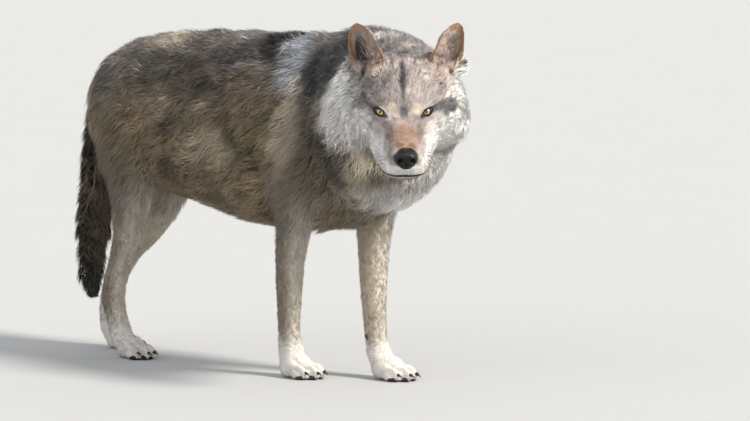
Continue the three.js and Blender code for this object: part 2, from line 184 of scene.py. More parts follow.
def locks(points: Array, size: float, seed: int) -> tuple[Array, Array]:
    """Groups points into locks round random centres.

    Space is cut into cubes with one centre somewhere in each, and a point belongs to the
    nearest centre.

    Args:
        points: The places.
        size: The cubes' edge, in the points' unit.
        seed: Picks another set of centres.

    Returns:
        The centre of each point's lock, and three random numbers that the lock shares.
    """
    base = np.floor(points / size)
    best = np.full(len(points), np.inf)
    centre = np.zeros_like(points)
    luck = np.zeros_like(points)
    for step in itertools.product((-1, 0, 1), repeat=3):
        cell = base + np.array(step)
        chance = hashed(cell, seed)
        spot = (cell + 0.1 + 0.8 * chance) * size
        gap = ((points - spot) ** 2).sum(1)
        near = gap < best
        best[near] = gap[near]
        centre[near] = spot[near]
        luck[near] = hashed(cell, seed + 7)[near]
    return centre, luck


# ---- Meshes -------------------------------------------------------------------------------


def mesh_object(name: str, points: Array, faces: Array, shaded_smooth: bool = True) -> bpy.types.Object:
    """Makes an object at the scene's origin.

    Args:
        name: The object's and the mesh's name.
        points: Its points, in metres.
        faces: The points' numbers round each face, with as many corners in all.
        shaded_smooth: Whether light runs smoothly over the faces.
    """
    mesh = bpy.data.meshes.new(name)
    count, corners = faces.shape
    mesh.vertices.add(len(points))
    mesh.vertices.foreach_set("co", points.astype(np.float32).ravel())
    mesh.loops.add(count * corners)
    mesh.loops.foreach_set("vertex_index", faces.astype(np.int32).ravel())
    mesh.polygons.add(count)
    mesh.polygons.foreach_set("loop_start", np.arange(0, count * corners, corners, dtype=np.int32))
    mesh.polygons.foreach_set("use_smooth", np.full(count, shaded_smooth))
    mesh.update(calc_edges=True)
    made = bpy.data.objects.new(name, mesh)
    bpy.context.scene.collection.objects.link(made)
    return made


def corners_of(mesh: bpy.types.Mesh) -> tuple[Array, Array]:
    """A mesh's points, and its faces cut into triangles."""
    points = np.empty(len(mesh.vertices) * 3, np.float32)
    mesh.vertices.foreach_get("co", points)
    mesh.calc_loop_triangles()
    faces = np.empty(len(mesh.loop_triangles) * 3, np.int32)
    mesh.loop_triangles.foreach_get("vertices", faces)
    return points.reshape(-1, 3).astype(float), faces.reshape(-1, 3)


def point_normals(points: Array, faces: Array) -> Array:
    """The normal at each point: the mean of the faces round it, by area."""
    a, b, c = (points[faces[:, i]] for i in range(3))
    area = np.cross(b - a, c - a)
    total = np.zeros_like(points)
    for axis in range(3):
        for i in range(3):
            total[:, axis] += np.bincount(faces[:, i], area[:, axis], len(points))
    return unit(total)


def paint(mesh: bpy.types.Mesh, colours: Array, name: str = "Coat") -> None:
    """Stores a linear colour at each point of a mesh."""
    layer = mesh.color_attributes.new(name, "FLOAT_COLOR", "POINT")
    rgba = np.ones((len(colours), 4), np.float32)
    rgba[:, :3] = np.clip(colours, 0.0, 1.0)
    layer.data.foreach_set("color", rgba.ravel())


def evaluated(thing: bpy.types.Object) -> bpy.types.Mesh:
    """A new mesh of an object with its modifiers carried out."""
    graph = bpy.context.evaluated_depsgraph_get()
    return bpy.data.meshes.new_from_object(thing.evaluated_get(graph))


def discard(thing: bpy.types.Object) -> None:
    """Removes a helper object and its mesh."""
    mesh = thing.data
    bpy.data.objects.remove(thing)
    bpy.data.meshes.remove(mesh)


def grid_faces(rows: int, columns: int, wraps: bool) -> Array:
    """Four-cornered faces of a grid of points, row by row; wraps joins its last column to its first."""
    across = columns if wraps else columns - 1
    r, c = np.meshgrid(np.arange(rows - 1), np.arange(across), indexing="ij")
    d = (c + 1) % columns
    quads = np.stack([r * columns + c, r * columns + d, (r + 1) * columns + d, (r + 1) * columns + c], -1)
    return quads.reshape(-1, 4)


def closed_tube(rings: Array) -> tuple[Array, Array]:
    """A tube through rings of points, each end closed to its middle.

    Args:
        rings: Points by ring and place in the ring. The places turn left-handed about the
            way from the first ring to the last, so that the faces point outwards.

    Returns:
        The points and the triangles.
    """
    rows, columns, _ = rings.shape
    quads = grid_faces(rows, columns, True)
    sides = np.concatenate([quads[:, [0, 1, 2]], quads[:, [0, 2, 3]]])
    points = np.concatenate([rings.reshape(-1, 3), rings[:1].mean(1), rings[-1:].mean(1)])
    here = np.arange(columns)
    following = (here + 1) % columns
    last = (rows - 1) * columns
    start = np.stack([np.full(columns, rows * columns), following, here], 1)
    end = np.stack([np.full(columns, rows * columns + 1), last + here, last + following], 1)
    return points, np.concatenate([sides, start, end])


def joined(parts: list[tuple[Array, Array]]) -> tuple[Array, Array]:
    """Several shapes as one list of points and one of faces."""
    shift = np.cumsum([0] + [len(p) for p, _ in parts[:-1]])
    return np.concatenate([p for p, _ in parts]), np.concatenate([f + s for (_, f), s in zip(parts, shift)])


def rings_round(path: Array, side: Array, rise: Array, wide: Array, high: Array, count: int) -> Array:
    """Rings of points along a path, each an ellipse in the plane of side and rise.

    Args:
        path: The middle of each ring.
        side: A unit direction across each ring.
        rise: A unit direction up each ring.
        wide: Each ring's half width along side.
        high: Each ring's half height along rise.
        count: How many points a ring has.

    Returns:
        Points by ring and place in the ring.
    """
    turn = np.arange(count) / count * WHOLE_TURN
    return (
        path[:, None]
        + side[:, None] * (np.cos(turn)[None, :, None] * wide[:, None, None])
        + rise[:, None] * (np.sin(turn)[None, :, None] * high[:, None, None])
    )


def outward(points: Array, faces: Array) -> Array:
    """Turns the faces of a closed shape round if they point inwards on the whole."""
    a, b, c = (points[faces[:, i]] for i in range(3))
    inside = (np.cross(a, b) * c).sum() < 0
    return faces[:, ::-1] if inside else faces


# ---- Shader groups and finishes --------------------------------------------------------------


def node_group(
    name: str, inputs: dict[str, float | tuple[float, ...]], outputs: list[str]
) -> bpy.types.NodeTree:
    """An empty shader group.

    Args:
        name: The group's name.
        inputs: Each input's name and first value, a number or a colour.
        outputs: The outputs' names; one named Colour gives a colour, and the others numbers.
    """
    group = bpy.data.node_groups.new(name, "ShaderNodeTree")
    for key, value in inputs.items():
        kind = "NodeSocketColor" if isinstance(value, tuple) else "NodeSocketFloat"
        socket = group.interface.new_socket(key, in_out="INPUT", socket_type=kind)
        socket.default_value = value
    for key in outputs:
        kind = "NodeSocketColor" if key == "Colour" else "NodeSocketFloat"
        group.interface.new_socket(key, in_out="OUTPUT", socket_type=kind)
    return group


def mottle_group() -> bpy.types.NodeTree:
    """Grain that many finishes share: a colour broken up by fine noise, and a height to match.

    The colour is made darker and lighter by the sum of two noises of Object coordinates, at
    Scale and at four times Scale, by Amount.
    """
    known = bpy.data.node_groups.get("hair_grain")
    if known:
        return known
    group = node_group(
        "hair_grain", {"Base": (0.5, 0.5, 0.5, 1.0), "Scale": 400.0, "Amount": 0.3}, ["Colour", "Height"]
    )
    nodes, links = group.nodes, group.links
    into, out = nodes.new("NodeGroupInput"), nodes.new("NodeGroupOutput")
    place = nodes.new("ShaderNodeTexCoord")
    coarse, fine = nodes.new("ShaderNodeTexNoise"), nodes.new("ShaderNodeTexNoise")
    larger = nodes.new("ShaderNodeMath")
    larger.operation, larger.inputs[1].default_value = "MULTIPLY", 4.0
    links.new(into.outputs["Scale"], larger.inputs[0])
    links.new(into.outputs["Scale"], coarse.inputs["Scale"])
    links.new(larger.outputs[0], fine.inputs["Scale"])
    for texture in (coarse, fine):
        texture.inputs["Detail"].default_value = 3.0
        links.new(place.outputs["Object"], texture.inputs["Vector"])
    both = nodes.new("ShaderNodeMath")
    both.operation = "ADD"
    links.new(coarse.outputs["Fac"], both.inputs[0])
    links.new(fine.outputs["Fac"], both.inputs[1])
    swing = nodes.new("ShaderNodeMath")
    swing.operation, swing.inputs[1].default_value = "SUBTRACT", 1.0
    links.new(both.outputs[0], swing.inputs[0])
    scaled = nodes.new("ShaderNodeMath")
    scaled.operation = "MULTIPLY_ADD"
    scaled.inputs[2].default_value = 1.0
    links.new(swing.outputs[0], scaled.inputs[0])
    links.new(into.outputs["Amount"], scaled.inputs[1])
    colour = nodes.new("ShaderNodeVectorMath")
    colour.operation = "SCALE"
    links.new(into.outputs["Base"], colour.inputs[0])
    links.new(scaled.outputs[0], colour.inputs["Scale"])
    links.new(colour.outputs["Vector"], out.inputs["Colour"])
    links.new(both.outputs[0], out.inputs["Height"])
    return group


@dataclass(frozen=True)
class Finish:
    """A surface finish: its colour or colour layer, how rough it is, its grain and its gloss."""

    name: str
    colour: tuple[float, float, float] = (0.5, 0.5, 0.5)
    layer: str = ""
    roughness: float = 0.7
    grain_scale: float = 500.0
    grain: float = 0.3
    bump: float = 0.3
    bump_depth: float = 0.0006
    coat: float = 0.0
    coat_roughness: float = 0.1
    specular: float = 0.3

    def material(self) -> bpy.types.Material:
        """The finish as a Blender material, made once."""
        known = bpy.data.materials.get(self.name)
        if known:
            return known
        made = bpy.data.materials.new(self.name)
        made.use_nodes = True
        nodes, links = made.node_tree.nodes, made.node_tree.links
        shader = nodes["Principled BSDF"]
        grain = nodes.new("ShaderNodeGroup")
        grain.node_tree = mottle_group()
        grain.inputs["Scale"].default_value = self.grain_scale
        grain.inputs["Amount"].default_value = self.grain
        if self.layer:
            source = nodes.new("ShaderNodeVertexColor")
            source.layer_name = self.layer
            links.new(source.outputs["Color"], grain.inputs["Base"])
        else:
            grain.inputs["Base"].default_value = (*linear(*self.colour), 1.0)
        links.new(grain.outputs["Colour"], shader.inputs["Base Color"])
        if self.bump:
            bump = nodes.new("ShaderNodeBump")
            bump.inputs["Strength"].default_value = self.bump
            bump.inputs["Distance"].default_value = self.bump_depth
            links.new(grain.outputs["Height"], bump.inputs["Height"])
            links.new(bump.outputs["Normal"], shader.inputs["Normal"])
        shader.inputs["Roughness"].default_value = self.roughness
        shader.inputs["Specular IOR Level"].default_value = self.specular
        shader.inputs["Coat Weight"].default_value = self.coat
        shader.inputs["Coat Roughness"].default_value = self.coat_roughness
        return made


# the skin's colour layer holds painted shade: the coat's colours darkened under the fur
SKIN_FINISH = Finish("underfur_in_painted_shade", layer="Coat", roughness=0.85, grain_scale=700.0, grain=0.45, bump=0.6)
TUFT_FINISH = Finish(
    "tufted_coat", layer="Coat", roughness=0.62, grain_scale=900.0, grain=0.35, bump=0.0, specular=0.25
)
EYE_FINISH = Finish(
    "wet_amber_eye", layer="Eye", roughness=0.3, grain_scale=1500.0, grain=0.25, bump=0.0, coat=1.0,
    coat_roughness=0.03, specular=0.5,
)
LID_FINISH = Finish(
    "lid_rim", layer="Lid", roughness=0.55, grain_scale=1200.0, grain=0.3, bump=0.25, bump_depth=0.0003,
    specular=0.2,
)
NOSE_FINISH = Finish(
    "moist_nose_skin", layer="Nose", roughness=0.4, grain_scale=900.0, grain=0.35, bump=0.55,
    bump_depth=0.0007, coat=0.12, coat_roughness=0.2, specular=0.22,
)
LIP_FINISH = Finish(
    "dark_lip_skin", colour=(0.045, 0.04, 0.04), roughness=0.6, grain_scale=900.0, coat=0.2
)
CLAW_FINISH = Finish(
    "worn_claw_horn", layer="Horn", roughness=0.42, grain_scale=600.0, grain=0.4, bump=0.3, bump_depth=0.0003
)
PAD_FINISH = Finish(
    "leathery_pad", colour=(0.16, 0.14, 0.14), roughness=0.8, grain_scale=650.0, grain=0.4, bump=0.8,
    bump_depth=0.001,
)
WHISKER_FINISH = Finish(
    "whisker_bristle", colour=(0.42, 0.4, 0.38), roughness=0.45, grain_scale=300.0, bump=0.0
)
FLOOR_FINISH = Finish(
    "studio_floor", colour=(0.67, 0.67, 0.665), roughness=0.95, grain_scale=4.0, grain=0.02, bump=0.0
)


# ---- The wolf's stance ------------------------------------------------------------------------


@dataclass
class Stance:
    """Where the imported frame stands, and the frame of its turned head.

    In the stance's own millimetres x = y = 0 lies on the floor midway between the forefeet,
    with x towards the breast, y to the wolf's left and z up. The head's frame starts midway
    between the eyes: x to the nose, y to the wolf's left, z to the crown.
    """

    yaw: float = -44.5
    pitch: float = 28.5
    eye_forward: float = -1.0
    origin: Array = field(init=False)
    eyes: Array = field(init=False)
    head_axes: Array = field(init=False)

    def __post_init__(self) -> None:
        """Reads the feet's and the eyes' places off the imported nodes."""
        feet = self.middle("paw_fore_left", "paw_fore_right")
        self.origin = np.array([feet[0], feet[1], 0.0])
        turn, tilt = math.radians(self.yaw), math.radians(self.pitch)
        forward = np.array(
            [math.cos(tilt) * math.cos(turn), math.cos(tilt) * math.sin(turn), -math.sin(tilt)]
        )
        left = np.array([-math.sin(turn), math.cos(turn), 0.0])
        self.head_axes = np.stack([forward, left, np.cross(forward, left)])
        self.eyes = self.to_stance(self.middle("eye_left", "eye_right")) - forward * self.eye_forward

    @staticmethod
    def middle(*nodes: str) -> Array:
        """The middle of several nodes' boxes, in metres."""
        return np.mean([np.array(corner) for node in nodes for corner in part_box(node)], 0)

    def corners(self, node: str) -> tuple[Array, Array]:
        """The low and the high corner of a node's box, in stance millimetres."""
        low, high = (self.to_stance(np.array(corner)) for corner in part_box(node))
        return low, high

    def to_stance(self, metres: Array) -> Array:
        """Frame metres to stance millimetres."""
        return (metres - self.origin) / MM

    def to_frame(self, points: Array) -> Array:
        """Stance millimetres to frame metres."""
        return points * MM + self.origin

    def to_head(self, points: Array) -> Array:
        """Stance millimetres to the head's own frame."""
        return (points - self.eyes) @ self.head_axes.T

    def from_head(self, points: Array) -> Array:
        """The head's own frame to stance millimetres."""
        return points @ self.head_axes + self.eyes


@dataclass
class Opening:
    """The almond opening between the lids of one eye, and the frame that it is drawn in.

    It reaches outer and inner millimetres to its corners, upper and lower ones to its lids,
    and is turned by the slant about the way that it faces, which is in the head's frame.
    """

    stance: Stance
    node: str
    hand: int
    outer: float = 11.5
    inner: float = 14.0
    upper: float = 3.3
    lower: float = 4.8
    slant: float = 35.0
    facing: tuple[float, float, float] = (0.80, 0.14, 0.57)
    draw: float = 1.15  # the power of the sine that draws the corners out
    behind: float = -6.0  # what lies further back than this isn't measured
    far: float = 9.0  # the measure given to all that is out of reach
    centre: Array = field(init=False)
    axes: Array = field(init=False)

    def __post_init__(self) -> None:
        """Sets the axes: out of the head, towards the outer corner, and upwards."""
        self.centre = self.stance.to_stance(Stance.middle(self.node))
        facing = np.array([self.facing[0], self.facing[1] * self.hand, self.facing[2]])
        out = unit(facing @ self.stance.head_axes)
        right = unit(np.cross(np.array([0.0, 0.0, 1.0]), out))
        above = np.cross(out, right)
        tilt = math.radians(self.slant)
        corner = self.hand * right * math.cos(tilt) + above * math.sin(tilt)
        lift = -self.hand * right * math.sin(tilt) + above * math.cos(tilt)
        self.axes = np.stack([out, corner, lift])

    def edge(self, turn: Array) -> tuple[Array, Array]:
        """The opening's edge by angle: towards the outer corner, and up.

        The height goes as the sine to a power a little over 1.
        """
        across, rise = np.cos(turn), np.sin(turn)
        u = across * np.where(across > 0, self.outer, self.inner)
        v = np.sign(rise) * np.abs(rise) ** self.draw * np.where(rise > 0, self.upper, self.lower)
        return u, v

    def measure(self, points: Array) -> Array:
        """How far out a point lies: 1 on the opening's edge, less inside it, far behind the eye."""
        out, u, v = ((points - self.centre) @ self.axes.T).T
        wide = np.where(u > 0, self.outer, self.inner)
        high = np.where(v > 0, self.upper, self.lower)
        away = np.sqrt((u / wide) ** 2 + np.abs(v / high) ** (2 / self.draw))
        return np.where(out > self.behind, np.minimum(away, self.far), self.far)


def eye_openings(stance: Stance) -> list[Opening]:
    """The openings of the left and the right eye."""
    return [Opening(stance, "eye_left", 1), Opening(stance, "eye_right", -1)]


@dataclass(frozen=True)
class EarFrame:
    """The frame of an ear, in the head's: up it, out of its hollow, and across to its outer edge.

    The root stands forward, up and to the side of the head's own origin. The side is counted
    from the sway, by which the crown is off the middle between the eyes.
    """

    side: float = 74.0
    sway: float = 9.0
    forward: float = -92.0
    up: float = 42.0
    height: float = 105.0
    half: float = 41.0
    taper: float = 0.22
    back: float = -0.12
    splay: float = 9.0
    facing: tuple[float, float, float] = (0.92, 0.36, 0.1)

    def axes(self, hand: int) -> Array:
        """Up, forward and across for the left (1) or the right (-1) ear."""
        up = unit(np.array([self.back, hand * math.sin(math.radians(self.splay)), 1.0]))
        forward = np.array([self.facing[0], hand * self.facing[1], self.facing[2]])
        forward = unit(forward - up * (forward @ up))
        return np.stack([up, forward, hand * np.cross(up, forward)])

    def local(self, head: Array, normals: Array) -> tuple[Array, Array, Array]:
        """Where points of an ear lie.

        Args:
            head: Points in the head's frame.
            normals: Their normals, in the head's frame too.

        Returns:
            The height as a share of the ear's, the place across from -1 at the inner edge to
            1 at the outer one, and how far each point faces out of the hollow.
        """
        out = np.zeros((3, len(head)))
        for hand in (1, -1):
            axes = self.axes(hand)
            mine = (head[:, 1] - self.sway) * hand > 0
            local = (head - np.array([self.forward, hand * self.side + self.sway, self.up])) @ axes.T
            up = local[:, 0] / self.height
            across = local[:, 2] / (self.half * (1 - self.taper * np.clip(up, 0, 1)))
            facing = smooth(0.0, 0.45, normals @ axes[1])
            out[:, mine] = np.stack([up, across, facing])[:, mine]
        return out[0], out[1], out[2]


# ---- Skeleton: which part a point belongs to, how its fur lies, and how deep it is --------------


class Part(Enum):
    """The parts of the body that differ in their fur."""

    TRUNK = 0
    NECK = 1
    SKULL = 2
    MUZZLE = 3
    EAR = 4
    FORELEG = 5
    HINDLEG = 6
    PAW = 7
    TAIL = 8


@dataclass
class Bones:
    """Round-ended rods through the body, each with a part, two radii and the way its fur lies."""

    stance: Stance
    sharpness: float = 9.0
    fore_step: float = 81.0
    hind_step: float = 68.0
    starts: Array = field(init=False)
    ends: Array = field(init=False)
    radii: Array = field(init=False)
    ways: Array = field(init=False)
    parts: Array = field(init=False)

    def __post_init__(self) -> None:
        """Lays out every rod."""
        rods: list[tuple[Array, Array, float, float, Array, int]] = []

        def chain(stops: list[tuple[float, ...]], part: Part, way: int, head: bool = False) -> None:
            """Adds rods through stops of x, y, z and radius; way is the fur's sense along them."""
            for a, b in zip(stops, stops[1:]):
                p, q = np.array(a[:3], float), np.array(b[:3], float)
                if head:
                    p, q = self.stance.from_head(p[None])[0], self.stance.from_head(q[None])[0]
                rods.append((p, q, a[3], b[3], way * unit(q - p), part.value))

        chain(
            [(-620, 0, 545, 118), (-430, 0, 525, 158), (-180, 0, 508, 178), (70, 0, 515, 170)],
            Part.TRUNK, -1,
        )
        chain([(60, -10, 530, 172), (145, -42, 550, 165), (215, -97, 548, 140)], Part.NECK, -1)
        chain([(-112, 8, -55, 118), (-60, 6, -50, 112), (-5, 1, -40, 72)], Part.SKULL, -1, True)
        chain([(18, 0, -50, 52), (106, 0, -58, 36)], Part.MUZZLE, -1, True)
        for hand in (1, -1):
            chain(
                [
                    (-92, hand * 72 + 6, 52, 34), (-100, hand * 82 + 6, 104, 32),
                    (-106, hand * 88 + 6, 150, 18),
                ],
                Part.EAR, 1, True,
            )
            # the left forefoot is ahead of the right one, and the left hind foot behind
            fore, hind = self.fore_step * hand, -self.hind_step * hand
            chain(
                [
                    (4, hand * 96, 560, 62), (-4 + 0.05 * fore, hand * 98, 480, 76),
                    (-16 + 0.2 * fore, hand * 92, 410, 66), (-27 + 0.42 * fore, hand * 83, 350, 50),
                    (-35 + 0.62 * fore, hand * 70, 275, 36), (-39 + 0.76 * fore, hand * 61, 190, 30),
                    (-36 + 0.89 * fore, hand * 54, 85, 26),
                ],
                Part.FORELEG, 1,
            )
            chain(
                [
                    (-560, hand * 82, 580, 66), (-558 + 0.1 * hind, hand * 90, 480, 86),
                    (-554 + 0.2 * hind, hand * 88, 410, 72), (-567 + 0.35 * hind, hand * 80, 320, 42),
                    (-607 + 0.52 * hind, hand * 68, 240, 32), (-667 + 0.8 * hind, hand * 59, 155, 28),
                    (-674 + 0.93 * hind, hand * 52, 75, 27),
                ],
                Part.HINDLEG, 1,
            )
            chain([(fore - 18, hand * 52, 52, 32), (fore + 40, hand * 52, 14, 26)], Part.PAW, 1)
            chain([(hind - 649, hand * 52, 46, 29), (hind - 598, hand * 52, 13, 23)], Part.PAW, 1)
        chain(
            [
                (-640, 0, 596, 36), (-697, -1, 500, 44), (-708, -2, 420, 50), (-716, -4, 335, 52),
                (-729, -6, 245, 44), (-734, -9, 170, 26), (-728, -10, 120, 9),
            ],
            Part.TAIL, 1,
        )
        self.starts = np.array([r[0] for r in rods])
        self.ends = np.array([r[1] for r in rods])
        self.radii = np.array([[r[2], r[3]] for r in rods])
        self.ways = np.array([r[4] for r in rods])
        self.parts = np.array([r[5] for r in rods])

    def shares(self, points: Array) -> tuple[Array, Array]:
        """How much each part and each rod counts at each point.

        The gap to a rod is measured in its own radii, and the shares fall off as e to the
        power of minus sharpness times that gap.

        Returns:
            Shares by point and part, and shares by point and rod; each row adds up to 1.
        """
        along = self.ends - self.starts
        length = (along**2).sum(1)
        gaps = np.empty((len(points), len(along)))
        for i in range(len(along)):
            t = np.clip(((points - self.starts[i]) @ along[i]) / length[i], 0.0, 1.0)
            nearest = self.starts[i] + t[:, None] * along[i]
            radius = self.radii[i, 0] * (1 - t) + self.radii[i, 1] * t
            gaps[:, i] = np.linalg.norm(points - nearest, axis=1) / radius
        weight = np.exp(-self.sharpness * (gaps - gaps.min(1, keepdims=True)))
        weight /= weight.sum(1, keepdims=True)
        parts = np.stack([weight[:, self.parts == p.value].sum(1) for p in Part], 1)
        return parts, weight


@dataclass
class Fur:
    """The fur at a set of points: all arrays run over the same points.

    Way is the direction in which the hairs lie, head and head_normals are places and normals
    in the head's frame, and rim is how far out of the nearer eye's opening a place is.
    """

    points: Array
    normals: Array
    parts: Array
    way: Array
    head: Array
    head_normals: Array
    rim: Array
    depth: Array
    length: Array
    width: Array

    def share(self, *parts: Part) -> Array:
        """How much the given parts count, together."""
        return sum(self.parts[:, p.value] for p in parts)

    def firm(self, *parts: Part) -> Array:
        """The same, with the blend into the parts beyond drawn together."""
        return np.clip(self.share(*parts) * 1.6 - 0.25, 0, 1)


@dataclass
class Lie:
    """How the coat lies at any place: its direction, its depth and the length of its hairs."""

    stance: Stance
    bones: Bones
    openings: list[Opening]
    parting: tuple[float, float, float] = (135.0, 0.0, -48.0)  # before the nose, in the head's frame
    cheek_fall: float = 0.85
    flank_sink: float = 0.75
    neck_sink: float = 0.7

    def at(self, points: Array, normals: Array) -> Fur:
        """Works out the fur at points of the coat.

        The direction is the rods' own, with the head's hairs spreading away from the nose,
        flank hairs sinking towards the belly and the ruff's standing out and down.
        """
        parts, rods = self.bones.shares(points)
        way = rods @ self.bones.ways
        head = self.stance.to_head(points)
        x, _, z = head.T
        # the throat's thick rods come close to the jaw, which is still all muzzle
        jaw = smooth(-5, 22, x) * smooth(-134, -116, z)
        parts = mix(parts, np.eye(len(Part))[Part.MUZZLE.value], jaw)
        axes = self.stance.head_axes
        skull = parts[:, Part.SKULL.value] + parts[:, Part.MUZZLE.value]
        # from the nose backwards, spreading out over the cheeks and brow
        from_nose = unit(head - np.array(self.parting)) @ axes
        cheek = smooth(25, -75, z) * smooth(20, -60, x)
        spread = from_nose + cheek[:, None] * np.array([0.0, 0.0, -self.cheek_fall])
        way = mix(way, spread, np.clip(skull * 1.4, 0, 1))
        # flank, shoulder and thigh: down and back
        side = np.abs(normals[:, 1])
        sink = parts[:, Part.TRUNK.value] * self.flank_sink + parts[:, Part.NECK.value] * self.neck_sink
        sink = sink * side
        way = way + sink[:, None] * np.array([0.0, 0.0, -1.0])
        chest = parts[:, Part.NECK.value] * smooth(0.2, 0.9, normals[:, 0])
        way = way + chest[:, None] * np.array([0.2, 0.0, -1.6])
        leg_top = parts[:, Part.FORELEG.value] + parts[:, Part.HINDLEG.value]
        way = way + (leg_top * smooth(300, 450, points[:, 2]))[:, None] * np.array([-0.8, 0.0, -0.2])
        # round the eyes the hairs part instead of lying over the opening
        rim = np.full(len(points), Opening.far)
        for opening in self.openings:
            far = opening.measure(points)
            toward = unit(flat_to(opening.centre - points, normals))
            into = np.maximum((way * toward).sum(1), 0.0) * smooth(3.4, 1.4, far) * 1.25
            way = way - toward * into[:, None]
            rim = np.minimum(rim, far)
        depth, length, width = self.depths(points, head, parts)
        near = smooth(1.1, 3.2, rim)
        return Fur(
            points, normals, parts, unit(flat_to(way, normals)), head, normals @ axes.T, rim,
            depth * (0.45 + 0.55 * near), length * (0.3 + 0.7 * near), width * (0.7 + 0.3 * near),
        )

    def depths(self, points: Array, head: Array, parts: Array) -> tuple[Array, Array, Array]:
        """Coat depth, hair length and tuft width at points of the coat.

        Every part has its own three measures, some of which run smoothly with the place.

        Args:
            points: The places, in the stance.
            head: The same places in the head's frame.
            parts: How much each part counts at each.

        Returns:
            The three measures, in millimetres.
        """
        x, y, z = head.T
        height = points[:, 2]
        behind = smooth(-10, -95, x) * smooth(30, 95, np.abs(y))
        below = smooth(-85, -150, z) * smooth(40, -40, x)
        ruff = np.clip(behind + below, 0, 1)
        crown = smooth(-70, -125, x)
        face = 3.4 + 2.4 * smooth(60, -60, x)
        skull = face + (20 - face) * np.maximum(ruff, 0.75 * crown)
        skull_hair = 9 + 8 * smooth(60, -50, x) + 28 * ruff + 16 * crown * (1 - ruff)
        skull_wide = 1.0 + 0.5 * smooth(60, -50, x) + 0.9 * ruff + 0.5 * crown * (1 - ruff)
        upper = smooth(255, 430, height)
        belly = smooth(420, 320, height)
        ear_root = smooth(58, 36, z)
        table = {
            Part.TRUNK: (24 - 2 * belly, 44 + 12 * belly, 2.1),
            Part.NECK: (26, 50 + 10 * belly, 2.1),
            Part.SKULL: (skull, skull_hair, skull_wide),
            Part.MUZZLE: (2.8, 7.5 + 4 * smooth(90, 20, x), 1.0),
            Part.EAR: (1.2 + 13 * ear_root, 8.0 + 8 * ear_root, 1.0 + 0.3 * ear_root),
            Part.FORELEG: (4.2 + 17 * upper, 13 + 28 * upper, 1.4 + 0.9 * upper),
            Part.HINDLEG: (4.2 + 18 * upper, 14 + 28 * upper, 1.5 + 0.8 * upper),
            Part.PAW: (2.8, 9.0, 1.3),
            Part.TAIL: (24 * smooth(110, 220, height) + 5, 50, 2.3),
        }
        out = np.zeros((3, len(points)))
        for part, values in table.items():
            out += parts[:, part.value] * np.stack([np.broadcast_to(value, len(points)) for value in values])
        return out[0], out[1], out[2]


# ---- Markings: the same on skin and coat -------------------------------------------------------


ANY = 9000.0  # a size that leaves a direction free


@dataclass(frozen=True)
class Mark:
    """A soft-edged patch of one shade: an ellipsoid whose middle may lean along x with height."""

    hair: Hair
    centre: tuple[float, float, float]
    size: tuple[float, float, float]
    strength: float = 0.8
    tick: float = 0.0
    lean: float = 0.0
    mirrored: bool = True

    def share(self, points: Array, ragged: Array) -> Array:
        """How strongly the patch covers each point.

        The distance from the centre, in the patch's own sizes, is made ragged by noise. The
        patch is full inside 0.6 of its size and gone at 1.4.
        """
        x, y, z = points.T
        y = np.abs(y) if self.mirrored else y
        local = np.stack([x - self.lean * (z - self.centre[2]), y, z], 1)
        away = np.linalg.norm((local - np.array(self.centre)) / np.array(self.size), axis=1)
        return self.strength * smooth(1.4, 0.6, away + 0.3 * ragged)


# shade, middle and sizes along x, y and z of the stance, strength, share of black-tipped hairs, lean
BODY_MARKS = (
    Mark(Hair.SLATE, (-612, 0, 592), (34, ANY, 56), 0.55, 0.5),
    Mark(Hair.UMBER, (-330, 0, 625), (110, ANY, 46), 0.5, 0.6),
    Mark(Hair.TAWNY, (-150, 0, 600), (48, ANY, 42), 0.5, 0.15),
    Mark(Hair.CREAM, (-262, 0, 470), (72, ANY, 42), 0.42, 0.05),
    # painted shade: a slanting crease across the flank
    Mark(Hair.UMBER, (-184, 0, 492), (18, ANY, 44), 0.75, 0.5, -0.5),
    Mark(Hair.CREAM, (-392, 0, 560), (24, ANY, 16), 0.4, 0.1),
    Mark(Hair.SLATE, (-380, 0, 520), (24, ANY, 30), 0.55, 0.6, 0.4),
    # painted shade low on the flank
    Mark(Hair.UMBER, (-395, 0, 418), (34, ANY, 38), 0.65, 0.3),
    Mark(Hair.CREAM, (-462, 0, 686), (54, ANY, 22), 0.5, 0.1),
    Mark(Hair.SLATE, (-205, 0, 658), (92, ANY, 24), 0.7, 0.8),
    Mark(Hair.CREAM, (-160, 0, 640), (42, ANY, 12), 0.35, 0.2),
    Mark(Hair.SILVER, (-240, 0, 712), (56, ANY, 17), 0.5, 0.35),
    Mark(Hair.SOOT, (-138, 0, 686), (36, ANY, 42), 1.0, 0.9, -0.6),
    Mark(Hair.SILVER, (-58, 0, 664), (42, ANY, 66), 0.88, 0.1, -0.25),
    Mark(Hair.CREAM, (-44, 0, 505), (36, ANY, 112), 0.62, 0.1, 0.3),
    Mark(Hair.SOOT, (30, 0, 640), (38, ANY, 54), 0.85, 0.85),
    Mark(Hair.UMBER, (44, 0, 520), (38, ANY, 80), 0.7, 0.5, -0.3),
    Mark(Hair.UMBER, (22, 0, 420), (44, ANY, 48), 0.6, 0.2),
    Mark(Hair.SLATE, (95, 0, 662), (78, ANY, 62), 0.85, 0.75),
    Mark(Hair.WHITE, (205, -60, 748), (90, 125, 40), 0.95, 0.05, mirrored=False),
    Mark(Hair.UMBER, (112, 0, 462), (48, ANY, 44), 0.85, 0.2),
    Mark(Hair.CREAM, (158, 0, 448), (24, ANY, 30), 0.5, 0.0),
    Mark(Hair.WHITE, (196, -50, 378), (76, 95, 54), 1.0, 0.0, mirrored=False),
    Mark(Hair.WHITE, (266, -20, 440), (66, 78, 84), 0.9, 0.0, mirrored=False),
    # painted shade under the chin, on the wolf's right side of the throat
    Mark(Hair.UMBER, (203, -124, 434), (44, 44, 18), 0.6, 0.05, mirrored=False),
)
